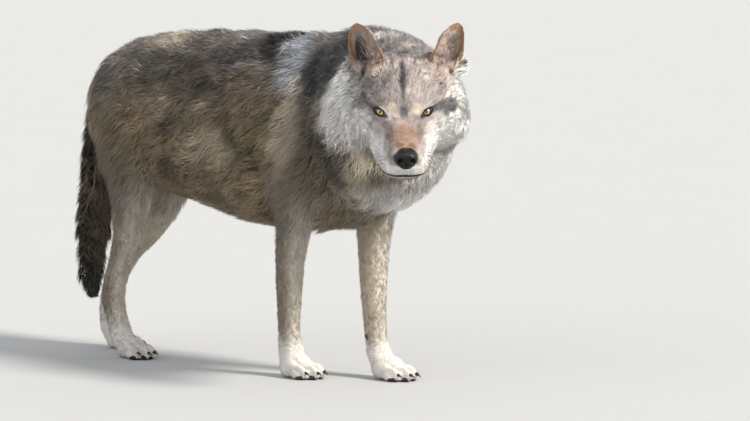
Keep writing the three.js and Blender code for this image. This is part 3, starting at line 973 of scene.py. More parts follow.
# the same, along x, y and z of the head's frame
HEAD_MARKS = (
    Mark(Hair.WHITE, (-84, 136, -40), (98, 52, 86), 1.0, 0.0),
    Mark(Hair.WHITE, (-6, 86, -64), (95, 52, 50), 1.0),
    Mark(Hair.SLATE, (-22, 100, -11), (52, 22, 15), 0.85, 0.55),
    Mark(Hair.SOOT, (-10, 76, 2), (42, 17, 8), 0.8, 0.5),
    Mark(Hair.SLATE, (-40, 60, 36), (50, 32, 20), 0.42, 0.6),
    Mark(Hair.PEARL, (14, 50, -19), (32, 15, 7), 0.8),
    Mark(Hair.UMBER, (8, 66, -30), (36, 12, 7), 0.4, 0.05),
    Mark(Hair.PEARL, (34, 0, 4), (22, 22, 14), 0.7, 0.1),
    Mark(Hair.RUFOUS, (78, 0, -12), (44, 27, 20), 0.82, 0.02),
    Mark(Hair.TAWNY, (48, 30, -12), (36, 7, 12), 0.6, 0.1),
    Mark(Hair.UMBER, (98, 12, -18), (11, 8, 9), 0.5, 0.1),
    Mark(Hair.WHITE, (62, 54, -70), (70, 30, 42), 1.0),
    Mark(Hair.WHITE, (104, 0, -66), (30, 46, 16), 1.0),
    Mark(Hair.SOOT, (-32, 0, 52), (48, 6.5, 26), 0.95, 0.7),
    Mark(Hair.SOOT, (2, 0, 34), (22, 5, 16), 0.6, 0.6),
    # painted light: a paler brow on the wolf's left, the side that the key light falls on
    Mark(Hair.PEARL, (-28, 46, 42), (52, 36, 28), 0.55, 0.1, mirrored=False),
    Mark(Hair.SLATE, (-40, 0, 60), (24, 16, 16), 0.5, 0.6),
    Mark(Hair.SOOT, (18, 2, 14), (16, 7, 11), 0.75, 0.5),
    Mark(Hair.CREAM, (8, 25, 13), (15, 10, 9), 0.75, 0.0),
    # painted shade in the crease between cheek and muzzle
    Mark(Hair.UMBER, (20, 66, -108), (20, 12, 14), 0.4, 0.0),
    Mark(Hair.SLATE, (-128, 0, 68), (16, 46, 16), 0.85, 0.8),
    Mark(Hair.BUFF, (60, 0, -112), (70, 44, 8), 0.5, 0.0),
    Mark(Hair.SABLE, (16, 31, -8), (10, 4.5, 5), 0.75, 0.0),
    Mark(Hair.SABLE, (-6, 63, 8), (10, 6, 3.5), 0.8, 0.0),
)


@dataclass
class Markings:
    """The grey wolf's colours at any place: the body of the hair, and how many tips are black."""

    def at(self, fur: Fur) -> tuple[Array, Array]:
        """Colours of the coat.

        Returns:
            The colour of the hair's body at each point, and the share of hairs whose tips
            are black there.
        """
        body, body_tick = self.body(fur)
        # the ruff overhangs the neck, so the head's own region is kept by place too
        within = smooth(-152, -126, fur.head[:, 0]) * smooth(-136, -112, fur.head[:, 2])
        head_share = np.maximum(fur.firm(Part.SKULL, Part.MUZZLE), within)
        limbs = fur.share(Part.FORELEG, Part.HINDLEG, Part.PAW)
        face, face_tick = self.face(fur)
        colour = mix(body, face, head_share)
        tick = body_tick * (1 - head_share) + face_tick * head_share
        for share, (other, other_tick) in (
            (limbs * smooth(470, 330, fur.points[:, 2]), self.legs(fur)),
            (fur.share(Part.TAIL), self.tail(fur)),
            (fur.firm(Part.EAR), self.ears(fur)),
        ):
            colour = mix(colour, other, share)
            tick = tick * (1 - share) + other_tick * share
        calm = (1.0 - 0.6 * head_share) * (1.0 - 0.65 * limbs)
        patchy = (noise(fur.points, 46, 3) * 0.22 + noise(fur.points, 19, 4) * 0.24) * calm
        return np.clip(colour * (1.0 + patchy[:, None]), 0.0, 1.0), np.clip(tick, 0, 1)

    @staticmethod
    def marked(
        marks: tuple[Mark, ...], points: Array, ragged: Array, base: tuple[Array, Array]
    ) -> tuple[Array, Array]:
        """Lays marks one after another over a base colour and its ticking.

        Args:
            marks: The patches, the lowest first.
            points: The places, in the marks' frame.
            ragged: The noise that frays the patches' edges.
            base: The colour and the share of black tips under the patches.

        Returns:
            The colour and the share of black tips.
        """
        colour, tick = base
        for mark in marks:
            share = mark.share(points, ragged)
            colour = mix(colour, mark.hair.rgb, share)
            tick = tick * (1 - share) + mark.tick * share
        return colour, tick

    def body(self, fur: Fur) -> tuple[Array, Array]:
        """Trunk and neck: grizzled above, buff on the flank, then the patches, pale on the chest."""
        x, y, z = fur.points.T
        ragged = noise(fur.points, 42, 11) + 0.6 * noise(fur.points, 17, 12)
        upper = smooth(510, 650, z + 16 * ragged)
        colour = mix(Hair.BUFF.rgb, Hair.ASH.rgb, 0.75 * upper)
        colour = mix(colour, Hair.TAWNY.rgb, 0.45 * smooth(0.0, 0.9, noise(fur.points, 52, 13)))
        ridge = bell(y, 0, 30) * smooth(680, 705, z) * smooth(-130, -240, x) * 0.5
        colour = mix(colour, Hair.SLATE.rgb, ridge)
        neck = fur.share(Part.NECK, Part.SKULL) * smooth(20, 70, x)
        front = smooth(70, 175, x + 0.35 * (420 - z)) * smooth(600, 470, z + 12 * ragged)
        colour = mix(colour, mix(Hair.ASH.rgb, Hair.CREAM.rgb, front), neck)
        tick = (0.22 + 0.38 * upper) * (1 - neck) + 0.4 * (1 - front) * neck
        return self.marked(BODY_MARKS, fur.points, ragged, (colour, tick))

    def face(self, fur: Fur) -> tuple[Array, Array]:
        """The head: grizzled brow, then the patches, and black rims round the eyes."""
        grain = noise(fur.points, 12, 21)
        ragged = 0.7 * noise(fur.points, 16, 22) + 0.5 * grain
        base = mix(Hair.ASH.rgb, Hair.PEARL.rgb, 0.52 + 0.38 * grain)
        colour, tick = self.marked(HEAD_MARKS, fur.head, ragged, (base, np.full(len(grain), 0.42)))
        liner = smooth(1.75, 1.3, fur.rim)
        return mix(colour, Hair.SABLE.rgb, 0.92 * liner), tick * (1 - liner)

    def legs(self, fur: Fur) -> tuple[Array, Array]:
        """Legs: buff-grey outside, pale in front and inside, whitish feet."""
        y, z = fur.points[:, 1], fur.points[:, 2]
        wave = noise(fur.points, 30, 31)
        colour = mix(Hair.BUFF.rgb, Hair.ASH.rgb, 0.5 + 0.25 * wave) * 1.1
        colour = mix(colour, Hair.UMBER.rgb, 0.45 * smooth(0.1, 0.9, -fur.normals[:, 0]))
        front = smooth(-0.1, 0.8, fur.normals[:, 0] + 0.08 * wave)
        colour = mix(colour, mix(Hair.CREAM.rgb, Hair.WHITE.rgb, 0.4), 0.75 * front * smooth(440, 330, z))
        inner = smooth(0.1, 0.7, -fur.normals[:, 1] * np.sign(y))
        colour = mix(colour, Hair.CREAM.rgb, 0.6 * inner * smooth(470, 360, z))
        colour = mix(colour, Hair.WHITE.rgb, 0.65 * smooth(110, 45, z + 10 * wave))
        return colour, 0.25 * smooth(200, 400, z)

    def tail(self, fur: Fur) -> tuple[Array, Array]:
        """The tail: black along its back edge and at the tip, brown within."""
        z = fur.points[:, 2]
        wave = noise(fur.points, 26, 41)
        back = smooth(-0.15, 0.5, -0.85 * fur.normals[:, 0] - 0.35 * fur.normals[:, 1] + 0.3 * wave)
        inner = mix(Hair.UMBER.rgb, Hair.TAWNY.rgb, 0.5 + 0.4 * wave)
        colour = mix(inner, Hair.SABLE.rgb, 0.93 * back)
        colour = mix(colour, Hair.SABLE.rgb, 0.8 * smooth(215, 150, z))
        return colour, np.clip(0.4 + 0.5 * back, 0, 1)

    def ears(self, fur: Fur) -> tuple[Array, Array]:
        """The ears: tan backs and rims, a pale pinkish lining, and painted shade darkening the hollow to its
        outer side.
        """
        up, across, inside = EarFrame().local(fur.head, fur.head_normals)
        # the two ears are cocked differently: the right one shows more of its rims and hollow, and its hollow
        # gets deeper painted shade
        right = fur.head[:, 1] < EarFrame.sway
        wave = noise(fur.points, 10, 51)
        colour = mix(Hair.TAN.rgb, Hair.TAWNY.rgb, 0.2 + 0.3 * wave)
        colour = mix(colour, Hair.ASH.rgb, 0.35 * (1 - inside))
        colour = mix(colour, Hair.PEARL.rgb, 0.7 * smooth(0.3, 0.0, up))
        lining = mix(Hair.PINK.rgb, Hair.ASH.rgb, np.clip(0.35 + 0.4 * wave, 0, 1))
        # painted shade: the hollow is darkened towards black, more in the right ear than the left
        hollow = smooth(1.4, 0.75, np.hypot((across - 0.32) / 0.33, (up - 0.36) / 0.32))
        lining = mix(lining, Hair.SABLE.rgb, hollow * smooth(0.04, 0.2, up) * np.where(right, 0.98, 0.6))
        rim = np.maximum(smooth(0.56, 0.72, across), smooth(-0.5, -0.66, across - 0.18 * right))
        rim = np.maximum(rim, smooth(0.76, 0.9, up))
        base = smooth(0.25, 0.05, up) * smooth(0.0, -0.5, across)
        within = inside * (1.0 - np.maximum(rim, 0.7 * base))
        return mix(colour, lining, within), 0.12 * (1 - within)


# ---- Places in the head that several pieces share ------------------------------------------------


NOSE_CENTRE = (114.0, 0.0, -37.0)


def nose_gap(head: Array, halves: tuple[float, float, float]) -> Array:
    """How far out places in the head's frame lie of a ball about the nose: 1 on its surface."""
    return np.sqrt((((head - np.array(NOSE_CENTRE)) / np.array(halves)) ** 2).sum(1))


@dataclass(frozen=True)
class MouthLine:
    """Where the lips meet, in the head's frame: from below the nose, sloping down to the corners."""

    front: float = -77.0
    slope: float = 0.22
    nose: float = 114.0
    corner: float = 24.0

    def height(self, x: Array) -> Array:
        """The line's height at distances along the muzzle."""
        return self.front - self.slope * (self.nose - x)


# ---- Skin ------------------------------------------------------------------------------------


FLESH = (
    "trunk", "neck", "head", "lower_jaw", "ear_left", "ear_right", "tail", "foreleg_left", "foreleg_right",
    "hindleg_left", "hindleg_right", "paw_fore_left", "paw_fore_right", "paw_hind_left", "paw_hind_right",
)
FILLERS = ("nose", "eye_left", "eye_right")  # filled while the skin is drawn, then dressed apart


def toes(end: str, side: str) -> list[str]:
    """The nodes of one foot's claws."""
    return [f"claw_{end}_{side}_{toe}" for toe in range(1, 5)]


@dataclass
class Skin:
    """One skin over the whole body, drawn in from the coat's tips by the coat's depth."""

    stance: Stance
    bones: Bones
    lie: Lie
    voxel: float = 3.3
    swell: float = 1.3
    rounds: int = 14
    body_ratio: float = 0.2
    eyeball: float = 10.3  # the skin's distance from an eye's middle inside its opening
    cover: float = 3.3  # and how much further out it lies beside it
    toe: float = 2.6
    piece: bpy.types.Object = field(init=False)
    points: Array = field(init=False)
    faces: Array = field(init=False)
    normals: Array = field(init=False)

    def build(self, nodes: dict[str, bpy.types.Object]) -> None:
        """Builds the skin and gives it its place, colour and unwrap."""
        shell = self.shell(nodes)
        points, faces = self.evened(shell)
        points, faces = self.thinned(points, faces)
        fur = self.lie.at(points, point_normals(points, faces))
        points = points - fur.normals * (fur.depth + self.swell)[:, None]
        points = self.relaxed(points, faces, 3)
        points = self.shaped_face(points, faces)
        points = self.shaped_feet(points, faces)
        self.points, self.faces = points, faces
        self.normals = point_normals(points, faces)
        self.piece = mesh_object("skin", self.stance.to_frame(points), faces)

    def shell(self, nodes: dict[str, bpy.types.Object]) -> bpy.types.Object:
        """All of the flesh as one closed surface.

        Each node's loose triangles are merged, swollen across the thin cuts between nodes,
        and melted together by a voxel remesh.
        """
        parts = []
        for name in FLESH + FILLERS:
            points, faces = corners_of(nodes[name].data)
            _, first, back = np.unique(np.round(points, 5), axis=0, return_index=True, return_inverse=True)
            faces = back.reshape(-1)[faces]
            faces = faces[(faces != np.roll(faces, 1, axis=1)).all(1)]
            points = points[first]
            parts.append((points + point_normals(points, faces) * self.swell * MM, faces))
        shell = mesh_object("skin_shell", *joined(parts))
        remesh = shell.modifiers.new("melt", "REMESH")
        remesh.mode, remesh.voxel_size, remesh.use_smooth_shade = "VOXEL", self.voxel * MM, True
        melted = evaluated(shell)
        discard(shell)
        made = bpy.data.objects.new("skin_melted", melted)
        bpy.context.scene.collection.objects.link(made)
        return made

    def evened(self, shell: bpy.types.Object) -> tuple[Array, Array]:
        """The melted surface without its facets.

        Every round moves each point towards the mean of its neighbours and then a little
        more back, which rounds facets without shrinking limbs.
        """
        points, faces = corners_of(shell.data)
        discard(shell)
        points = self.stance.to_stance(points)
        parts, _ = self.bones.shares(points)
        give = 1.0 - 0.3 * parts[:, Part.EAR.value]
        return self.relaxed(points, faces, self.rounds, give), faces

    @staticmethod
    def relaxed(points: Array, faces: Array, rounds: int, give: Array | float = 1.0) -> Array:
        """Rounds of moving each point towards its neighbours' mean and partly back.

        Args:
            points: The surface's points.
            faces: Its triangles.
            rounds: How often to do it.
            give: How freely each point moves.

        Returns:
            The moved points.
        """
        edges = np.concatenate([faces[:, [0, 1]], faces[:, [1, 2]], faces[:, [2, 0]]])
        pairs = np.unique(np.sort(edges, 1), axis=0)
        near, far = np.concatenate([pairs, pairs[:, ::-1]]).T
        count = np.bincount(near, minlength=len(points))[:, None]
        give = np.broadcast_to(np.asarray(give, float), (len(points),))[:, None]
        for _ in range(rounds):
            for step in (0.62, -0.60):
                mean = np.stack([np.bincount(near, points[far, i], len(points)) for i in range(3)], 1) / count
                points = points + (mean - points) * step * give
        return points

    def thinned(self, points: Array, faces: Array) -> tuple[Array, Array]:
        """Fewer faces on the body; the head keeps them all."""
        head = self.stance.to_head(points)
        keep = smooth(-150, -115, head[:, 0]) * smooth(-150, -120, head[:, 2])
        keep = np.maximum(keep, 0.8 * smooth(75, 50, points[:, 2]))
        whole = mesh_object("skin_thinning", points * MM, faces)
        group = whole.vertex_groups.new(name="thin")
        levels = 1.0 - keep
        for level in (0.25, 0.5, 0.75, 1.0):
            group.add(np.flatnonzero((levels > level - 0.25) & (levels <= level)).tolist(), level, "REPLACE")
        fewer = whole.modifiers.new("thin", "DECIMATE")
        fewer.ratio, fewer.vertex_group = self.body_ratio, "thin"
        slim = evaluated(whole)
        discard(whole)
        points, faces = corners_of(slim)
        bpy.data.meshes.remove(slim)
        LOG.info("skin has %d faces", len(faces))
        return points / MM, faces

    def shaped_face(self, points: Array, faces: Array) -> Array:
        """Brows, stop, cheekbones, a seat for the nose, and the skin drawn over the eyeballs."""
        normals = point_normals(points, faces)
        head = self.stance.to_head(points)
        x, y, z = head.T
        side = np.abs(y)
        front = smooth(-120, -60, x)
        brow = 4.6 * bell(side, 40, 19) * bell(z, 15, 9) * smooth(-40, -10, x)
        stop = -3.0 * bell(y, 0, 13) * bell(x, 4, 24) * smooth(-20, 0, z)
        cheekbone = 2.5 * bell(side, 68, 18) * bell(z, -34, 16) * bell(x, -14, 30)
        tear_hollow = -2.6 * bell(side, 40, 9) * bell(z, -36, 14) * bell(x, 34, 24)
        whisker_bed = 2.2 * bell(side, 42, 14) * bell(z, -72, 14) * bell(x, 66, 34)
        move = (brow + stop + cheekbone + tear_hollow + whisker_bed) * front
        points = points + normals * move[:, None]
        seat = 15.0 * smooth(1.0, 0.75, nose_gap(head, (24.0, 25.0, 23.0)))
        points = points - self.stance.head_axes[0] * seat[:, None]
        for opening in self.lie.openings:
            gap = points - opening.centre
            away = np.linalg.norm(gap, axis=1)
            far = opening.measure(points)
            over = np.maximum(away, self.eyeball + self.cover * smooth(1.0, 1.3, far))
            wanted = np.where(far < 1.0, np.minimum(away, self.eyeball), over)
            close = (away < 26) & (gap @ opening.axes[0] > -4) & (far < opening.far)
            points = np.where(close[:, None], opening.centre + gap / away[:, None] * wanted[:, None], points)
        return points

    def shaped_feet(self, points: Array, faces: Array) -> Array:
        """Toes: a swelling behind each claw, and a furrow between neighbours.

        Across the foot the surface moves by a wave with its crest on the toe and its trough
        half way to the next one.
        """
        normals = point_normals(points, faces)
        for end, side in itertools.product(("fore", "hind"), ("left", "right")):
            place = np.array([self.stance.to_stance(Stance.middle(toe)) for toe in toes(end, side)])
            gap = np.abs(points[:, 1][:, None] - place[:, 1])
            nearest = gap.argmin(1)
            across = gap[np.arange(len(points)), nearest]
            back = place[nearest, 0] - points[:, 0]
            spacing = np.ptp(place[:, 1]) / 3
            wave = np.cos(np.clip(across / spacing * 2, 0, 1) * math.pi)
            near = smooth(62, 34, back) * smooth(-12, 0, back) * smooth(52, 30, points[:, 2])
            near = near * (across < spacing) * smooth(-0.2, 0.3, normals[:, 0] + normals[:, 2])
            points = points + normals * (near * (self.toe * wave - 0.8))[:, None]
        return points

    def dress(self, markings: Markings) -> None:
        """Colours the skin, darkened as painted shade under the fur, unwraps it and lets it stand for the
        flesh.
        """
        fur = self.lie.at(self.points, self.normals)
        colour, tick = markings.at(fur)
        # painted shade: the skin takes the coat's colours at 0.72 of their brightness, as the shade deep
        # under the fur; the soot of black tips is the hair's own
        paint(self.piece.data, mix(colour, Hair.SOOT.rgb, 0.35 * tick) * 0.72)
        self.piece.data.materials.append(SKIN_FINISH.material())
        self.unwrap()
        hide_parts(*FLESH)
        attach(self.piece, "root")

    def unwrap(self) -> None:
        """Blender's own unwrap by angle, on the skin alone."""
        self.piece.data.uv_layers.new(name="SkinMap")
        bpy.context.view_layer.objects.active = self.piece
        self.piece.select_set(True)
        bpy.ops.object.mode_set(mode="EDIT")
        bpy.ops.mesh.select_all(action="SELECT")
        bpy.ops.uv.smart_project(angle_limit=math.radians(66), island_margin=0.001)
        bpy.ops.object.mode_set(mode="OBJECT")
        self.piece.select_set(False)

    def corner_places(self) -> Array:
        """The unwrap's place of each triangle's corners."""
        places = np.empty(len(self.piece.data.loops) * 2, np.float32)
        self.piece.data.uv_layers["SkinMap"].data.foreach_get("uv", places)
        return places.reshape(-1, 3, 2).astype(float)

    def conform(self, points: Array) -> tuple[Array, Array]:
        """The nearest places on the skin, and the way out of it there.

        Two passes of Shrinkwrap do it: one onto the surface, and one held above it, whose
        difference is the smooth normal.

        Args:
            points: Places in the stance.

        Returns:
            The nearest places, and the normals there.
        """
        away = 12.0
        found = []
        cloud = bpy.data.meshes.new("cloud")
        cloud.vertices.add(len(points))
        cloud.vertices.foreach_set("co", self.stance.to_frame(points).astype(np.float32).ravel())
        holder = bpy.data.objects.new("cloud", cloud)
        bpy.context.scene.collection.objects.link(holder)
        wrap = holder.modifiers.new("wrap", "SHRINKWRAP")
        wrap.target, wrap.wrap_method = self.piece, "NEAREST_SURFACEPOINT"
        for mode, offset in (("ON_SURFACE", 0.0), ("ABOVE_SURFACE", away * MM)):
            wrap.wrap_mode, wrap.offset = mode, offset
            moved = evaluated(holder)
            place = np.empty(len(points) * 3, np.float32)
            moved.vertices.foreach_get("co", place)
            bpy.data.meshes.remove(moved)
            found.append(self.stance.to_stance(place.reshape(-1, 3).astype(float)))
        discard(holder)
        return found[0], unit(found[1] - found[0])


# ---- Coat ------------------------------------------------------------------------------------


@dataclass
class Region:
    """A region of the coat: the parts it covers and how its tufts thin out."""

    parts: tuple[Part, ...]
    split_axis: int = 0
    ruff: float = 0.0  # 1 keeps only the ruff and crown of the head, -1 only the face
    lining: bool = False  # only the inner edge of the ears' hollows

    def share(self, fur: Fur) -> Array:
        """How densely tufts grow at each skin point; none on the nose, lids, lips and soles."""
        own = fur.share(*self.parts)
        others = np.delete(fur.parts, [p.value for p in self.parts], axis=1).sum(1)
        share = smooth(0.0, 0.35, own - others + 0.17)
        if self.ruff:
            deep = smooth(7.0, 11.0, fur.depth)
            share = share * (deep if self.ruff > 0 else 1.0 - deep)
        if self.lining:
            up, across, inside = EarFrame().local(fur.head, fur.head_normals)
            share = share * inside * smooth(0.25, 0.0, across) * smooth(-0.8, -0.6, across)
            share = share * smooth(0.0, 0.1, up) * smooth(0.8, 0.6, up)
        x, _, z = fur.head.T
        nose = nose_gap(fur.head, (19.0, 22.5, 20.5))
        share = share * smooth(0.95, 1.08, nose) * smooth(1.2, 1.5, fur.rim)
        mouth = MouthLine()
        lip = np.abs(z - mouth.height(x)) - 1.2 * smooth(60, 108, x) - 2.6 * bell(x, 46, 18)
        share = share * np.where(x > mouth.corner, smooth(0.8, 2.2, lip), 1.0)
        return share * smooth(1.0, 6.0, fur.points[:, 2])


@dataclass
class Roots:
    """Where tufts grow: place, normal and unwrap place of each."""

    points: Array
    normals: Array
    places: Array


@dataclass
class Coat:
    """Tufts of hair over one region of the skin, as closed three-sided spikes."""

    name: str
    slot: str
    region: Region
    count: int
    seed: int
    joints: int = 3  # points along a tuft, from root to tip
    lock: float = 24.0  # the size of the locks that share a turn
    gather: float = 0.55  # how far tips draw together within a lock
    lift: float = 1.0  # how high tips stand, in depths of the coat
    stray: float = 0.14  # how much single tufts turn from the lie of the coat
    crimp: float = 0.3  # how much they bend on their way
    scale: float = 1.0  # their length, in lengths of the hair
    variety: float = 0.45  # how much locks differ in shade
    lining: float = 0.0  # what the lining of the ears adds to their length
    per_piece: int = 17000
    clear: float = 1.5  # the least height over the floor
    patch: float = 0.003  # a tuft's patch on the unwrap

    def roots(self, skin: Skin, fur: Fur) -> Roots:
        """Scatters roots over the region's skin, evenly by area and by the region's share.

        The triangles are lined up by the area that they count for, and equal steps along
        that line, each moved a little, pick them.
        """
        rng = np.random.default_rng(self.seed)
        share = self.region.share(fur)[skin.faces].mean(1)
        a, b, c = (skin.points[skin.faces[:, i]] for i in range(3))
        area = np.linalg.norm(np.cross(b - a, c - a), axis=1) * share
        line = np.cumsum(area)
        at = (np.arange(self.count) + rng.random(self.count)) / self.count * line[-1]
        pick = np.minimum(np.searchsorted(line, at), len(line) - 1)
        s, t = rng.random(self.count), rng.random(self.count)
        over = s + t > 1
        s[over], t[over] = 1 - s[over], 1 - t[over]
        weight = np.stack([1 - s - t, s, t], 1)
        corners = skin.faces[pick]
        return Roots(
            (skin.points[corners] * weight[..., None]).sum(1),
            unit((skin.normals[corners] * weight[..., None]).sum(1)),
            (skin.corner_places()[pick] * weight[..., None]).sum(1),
        )

    def paths(self, skin: Skin, lie: Lie, roots: Roots) -> tuple[Array, Array, Fur]:
        """The middle line of every tuft, and its normals.

        A tuft walks over the skin along the lie of the coat, in as many steps as it has
        joints, and rises from the root to the coat's depth. Tufts of one lock share a turn
        and a lift, and draw together towards the lock's centre by the tip.
        """
        rng = np.random.default_rng(self.seed + 1)
        count = len(roots.points)
        fur = lie.at(roots.points, roots.normals)
        centre, luck = locks(roots.points, self.lock, self.seed)
        small, small_luck = locks(roots.points, self.lock * 0.45, self.seed + 3)
        spread = 0.7 + 0.35 * luck[:, 0] + 0.3 * (rng.random(count) - 0.3)
        length = fur.length * spread * self.scale + self.lining
        rise = fur.depth * self.lift * (0.5 + 0.5 * luck[:, 1] + 0.22 * (rng.random(count) - 0.5))
        turn = (luck[:, 2] - 0.5) * 0.75 + (small_luck[:, 2] - 0.5) * 0.55 + rng.normal(0, self.stray, count)
        crimp = rng.normal(0, self.crimp, count) + (small_luck[:, 1] - 0.5) * self.crimp * 2
        here, normal, way = roots.points, roots.normals, fur.way
        line = [here - normal * np.minimum(1.5, 0.4 * fur.depth)[:, None]]
        normals = [normal]
        steps = self.joints - 1
        for i in range(1, self.joints):
            side = np.cross(normal, way)
            bent = turn + crimp * (i - 1)
            heading = way * np.cos(bent)[:, None] + side * np.sin(bent)[:, None]
            here, normal = skin.conform(here + heading * (length / steps)[:, None])
            way = unit(flat_to(lie.at(here, normal).way, normal))
            s = i / steps
            pull = self.gather * s**1.4
            drawn = flat_to(0.6 * (small - roots.points) + 0.4 * (centre - roots.points), normal) * pull
            height = rise * (1 - (1 - s) ** 1.7)
            line.append(here + drawn + normal * height[:, None])
            normals.append(normal)
        return np.stack(line, 1), np.stack(normals, 1), fur

    def spikes(self, path: Array, normals: Array, width: Array) -> tuple[Array, Array]:
        """Closed three-sided spikes round the paths, flattened against the body.

        Each ring has a corner to either side and one on top; the last is a single point. The
        girth swells as a sine and ends as 1 minus the cube of the way along.

        Args:
            path: The middle lines, by tuft and joint.
            normals: The ways out of the skin along them.
            width: Each tuft's full width.

        Returns:
            The points and the triangles of all tufts.
        """
        count, joints, _ = path.shape
        along = np.gradient(path, axis=1)
        side = unit(np.cross(normals, unit(along)))
        up = unit(np.cross(unit(along), side))
        s = np.arange(joints - 1) / (joints - 1)
        girth = (0.62 + 0.38 * np.sin(np.pi * np.minimum(s * 1.25 + 0.12, 1.0))) * (1 - s**3)
        radius = (width[:, None] * girth)[..., None] * 0.5
        flatness = 0.75
        rings = []
        for angle in (math.pi * 0.5, math.pi * 1.17, math.pi * 1.83):
            across, rise = math.cos(angle), math.sin(angle)
            rings.append(path[:, :-1] + radius * (side[:, :-1] * across + up[:, :-1] * rise * flatness))
        rings = np.stack(rings, 2).reshape(count, -1, 3)
        points = np.concatenate([rings, path[:, -1:]], 1)
        one = []
        for j in range(joints - 2):
            for i in range(3):
                k = (i + 1) % 3
                one += [(j * 3 + i, j * 3 + k, j * 3 + 3 + k), (j * 3 + i, j * 3 + 3 + k, j * 3 + 3 + i)]
        last, tip = (joints - 2) * 3, (joints - 1) * 3
        one += [(last + i, last + (i + 1) % 3, tip) for i in range(3)] + [(0, 2, 1)]
        each = np.array(one)
        faces = each[None] + (np.arange(count) * (tip + 1))[:, None, None]
        flat_points = points.reshape(-1, 3)
        sample = outward(flat_points[: tip + 1] - flat_points[: tip + 1].mean(0), each)
        turned = not np.array_equal(sample, each)
        faces = faces.reshape(-1, 3)
        return flat_points, faces[:, ::-1] if turned else faces

    def colours(self, fur: Fur, markings: Markings, joints: int) -> Array:
        """The colour of each ring and tip: a root darkened partly as the hair's own darker base and partly as
        painted shade deep in the coat, the marking's own colour, then a tip.

        Some hairs are ticked: their outer part is black, or pale where the coat is dark.
        """
        rng = np.random.default_rng(self.seed + 2)
        count = len(fur.points)
        body, tick = markings.at(fur)
        _, luck = locks(fur.points, self.lock * 0.45, self.seed + 3)
        _, wide_luck = locks(fur.points, self.lock, self.seed)
        shade = 1.0 + self.variety * (luck[:, 0] + wide_luck[:, 1] - 1.05) + rng.normal(0, 0.06, count)
        body = body * shade[:, None]
        dark = rng.random(count) < tick * 0.75
        clear_of_eye = smooth(1.4, 2.2, fur.rim)
        bleached = mix(body, Hair.WHITE.rgb, 0.2 * clear_of_eye)
        tip = np.where(dark[:, None], mix(body, Hair.SABLE.rgb, 0.75), bleached)
        if self.lining:
            body, tip = mix(body, Hair.PINK.rgb, 0.8), mix(body, Hair.PEARL.rgb, 0.85)
        # the root is darkened partly as the hair's own darker base and partly as painted shade deep in the
        # coat
        root = body * (np.array([0.58, 0.55, 0.52]) if joints > 2 else 0.86)
        out = []
        for j in range(joints - 1):
            s = j / (joints - 1)
            ring = mix(root, body, np.full(count, smooth(0.0, 0.45, np.array(s))))
            ring = mix(ring, tip, np.full(count, smooth(0.4, 0.95, np.array(s))))
            out += [ring] * 3
        out.append(tip)
        return np.clip(np.stack(out, 1).reshape(-1, 3), 0.0, 1.0)

    def build(self, skin: Skin, skin_fur: Fur, lie: Lie, markings: Markings) -> list[bpy.types.Object]:
        """Makes the coat's pieces, each small enough to be kept whole."""
        roots = self.roots(skin, skin_fur)
        order = np.argsort(roots.points[:, self.region.split_axis], kind="stable")
        roots = Roots(roots.points[order], roots.normals[order], roots.places[order])
        path, normals, fur = self.paths(skin, lie, roots)
        path[..., 2] = np.maximum(path[..., 2], self.clear)
        width = fur.width * (0.8 + 0.4 * hashed(np.round(roots.points * 7), 5)[:, 0]) * math.sqrt(self.scale)
        points, faces = self.spikes(path, normals, width)
        # a tuft takes its colour from the place that its outer half covers
        shown = 0.45 * path[:, 0] + 0.55 * path[:, -1]
        colours = self.colours(lie.at(shown, fur.normals), markings, self.joints)
        corners, tris = len(points) // self.count, len(faces) // self.count
        made = []
        pieces = math.ceil(self.count / self.per_piece)
        for i in range(pieces):
            a, b = self.count * i // pieces, self.count * (i + 1) // pieces
            piece = mesh_object(
                f"{self.name}_{i + 1}" if pieces > 1 else self.name,
                skin.stance.to_frame(points[a * corners : b * corners]),
                faces[a * tris : b * tris] - a * corners,
            )
            paint(piece.data, colours[a * corners : b * corners])
            self.map_tufts(piece.data, roots.places[a:b])
            piece.data.materials.append(TUFT_FINISH.material())
            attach(piece, "root")
            made.append(piece)
        LOG.info("%s: %d tufts in %d pieces", self.name, self.count, pieces)
        return made

    def map_tufts(self, mesh: bpy.types.Mesh, places: Array) -> None:
        """Lays each tuft out as a small patch at its root's place on the skin's unwrap."""
        rings = self.joints - 1
        u = np.array([0.0, 0.5, 1.0] * rings + [0.5]) - 0.5
        steps = np.repeat(np.arange(rings) / rings, 3) + np.tile([0.0, 0.06, 0.12], rings)
        v = np.append(steps, 1.0) - 0.5
        spots = np.clip(places[:, None] + np.stack([u, v], 1)[None] * self.patch, 0.0, 1.0).reshape(-1, 2)
        index = np.empty(len(mesh.loops), np.int32)
        mesh.loops.foreach_get("vertex_index", index)
        mesh.uv_layers.new(name="OFBake").data.foreach_set("uv", spots[index].astype(np.float32).ravel())


# ---- Eyes, lids, nose, lips ---------------------------------------------------------------------


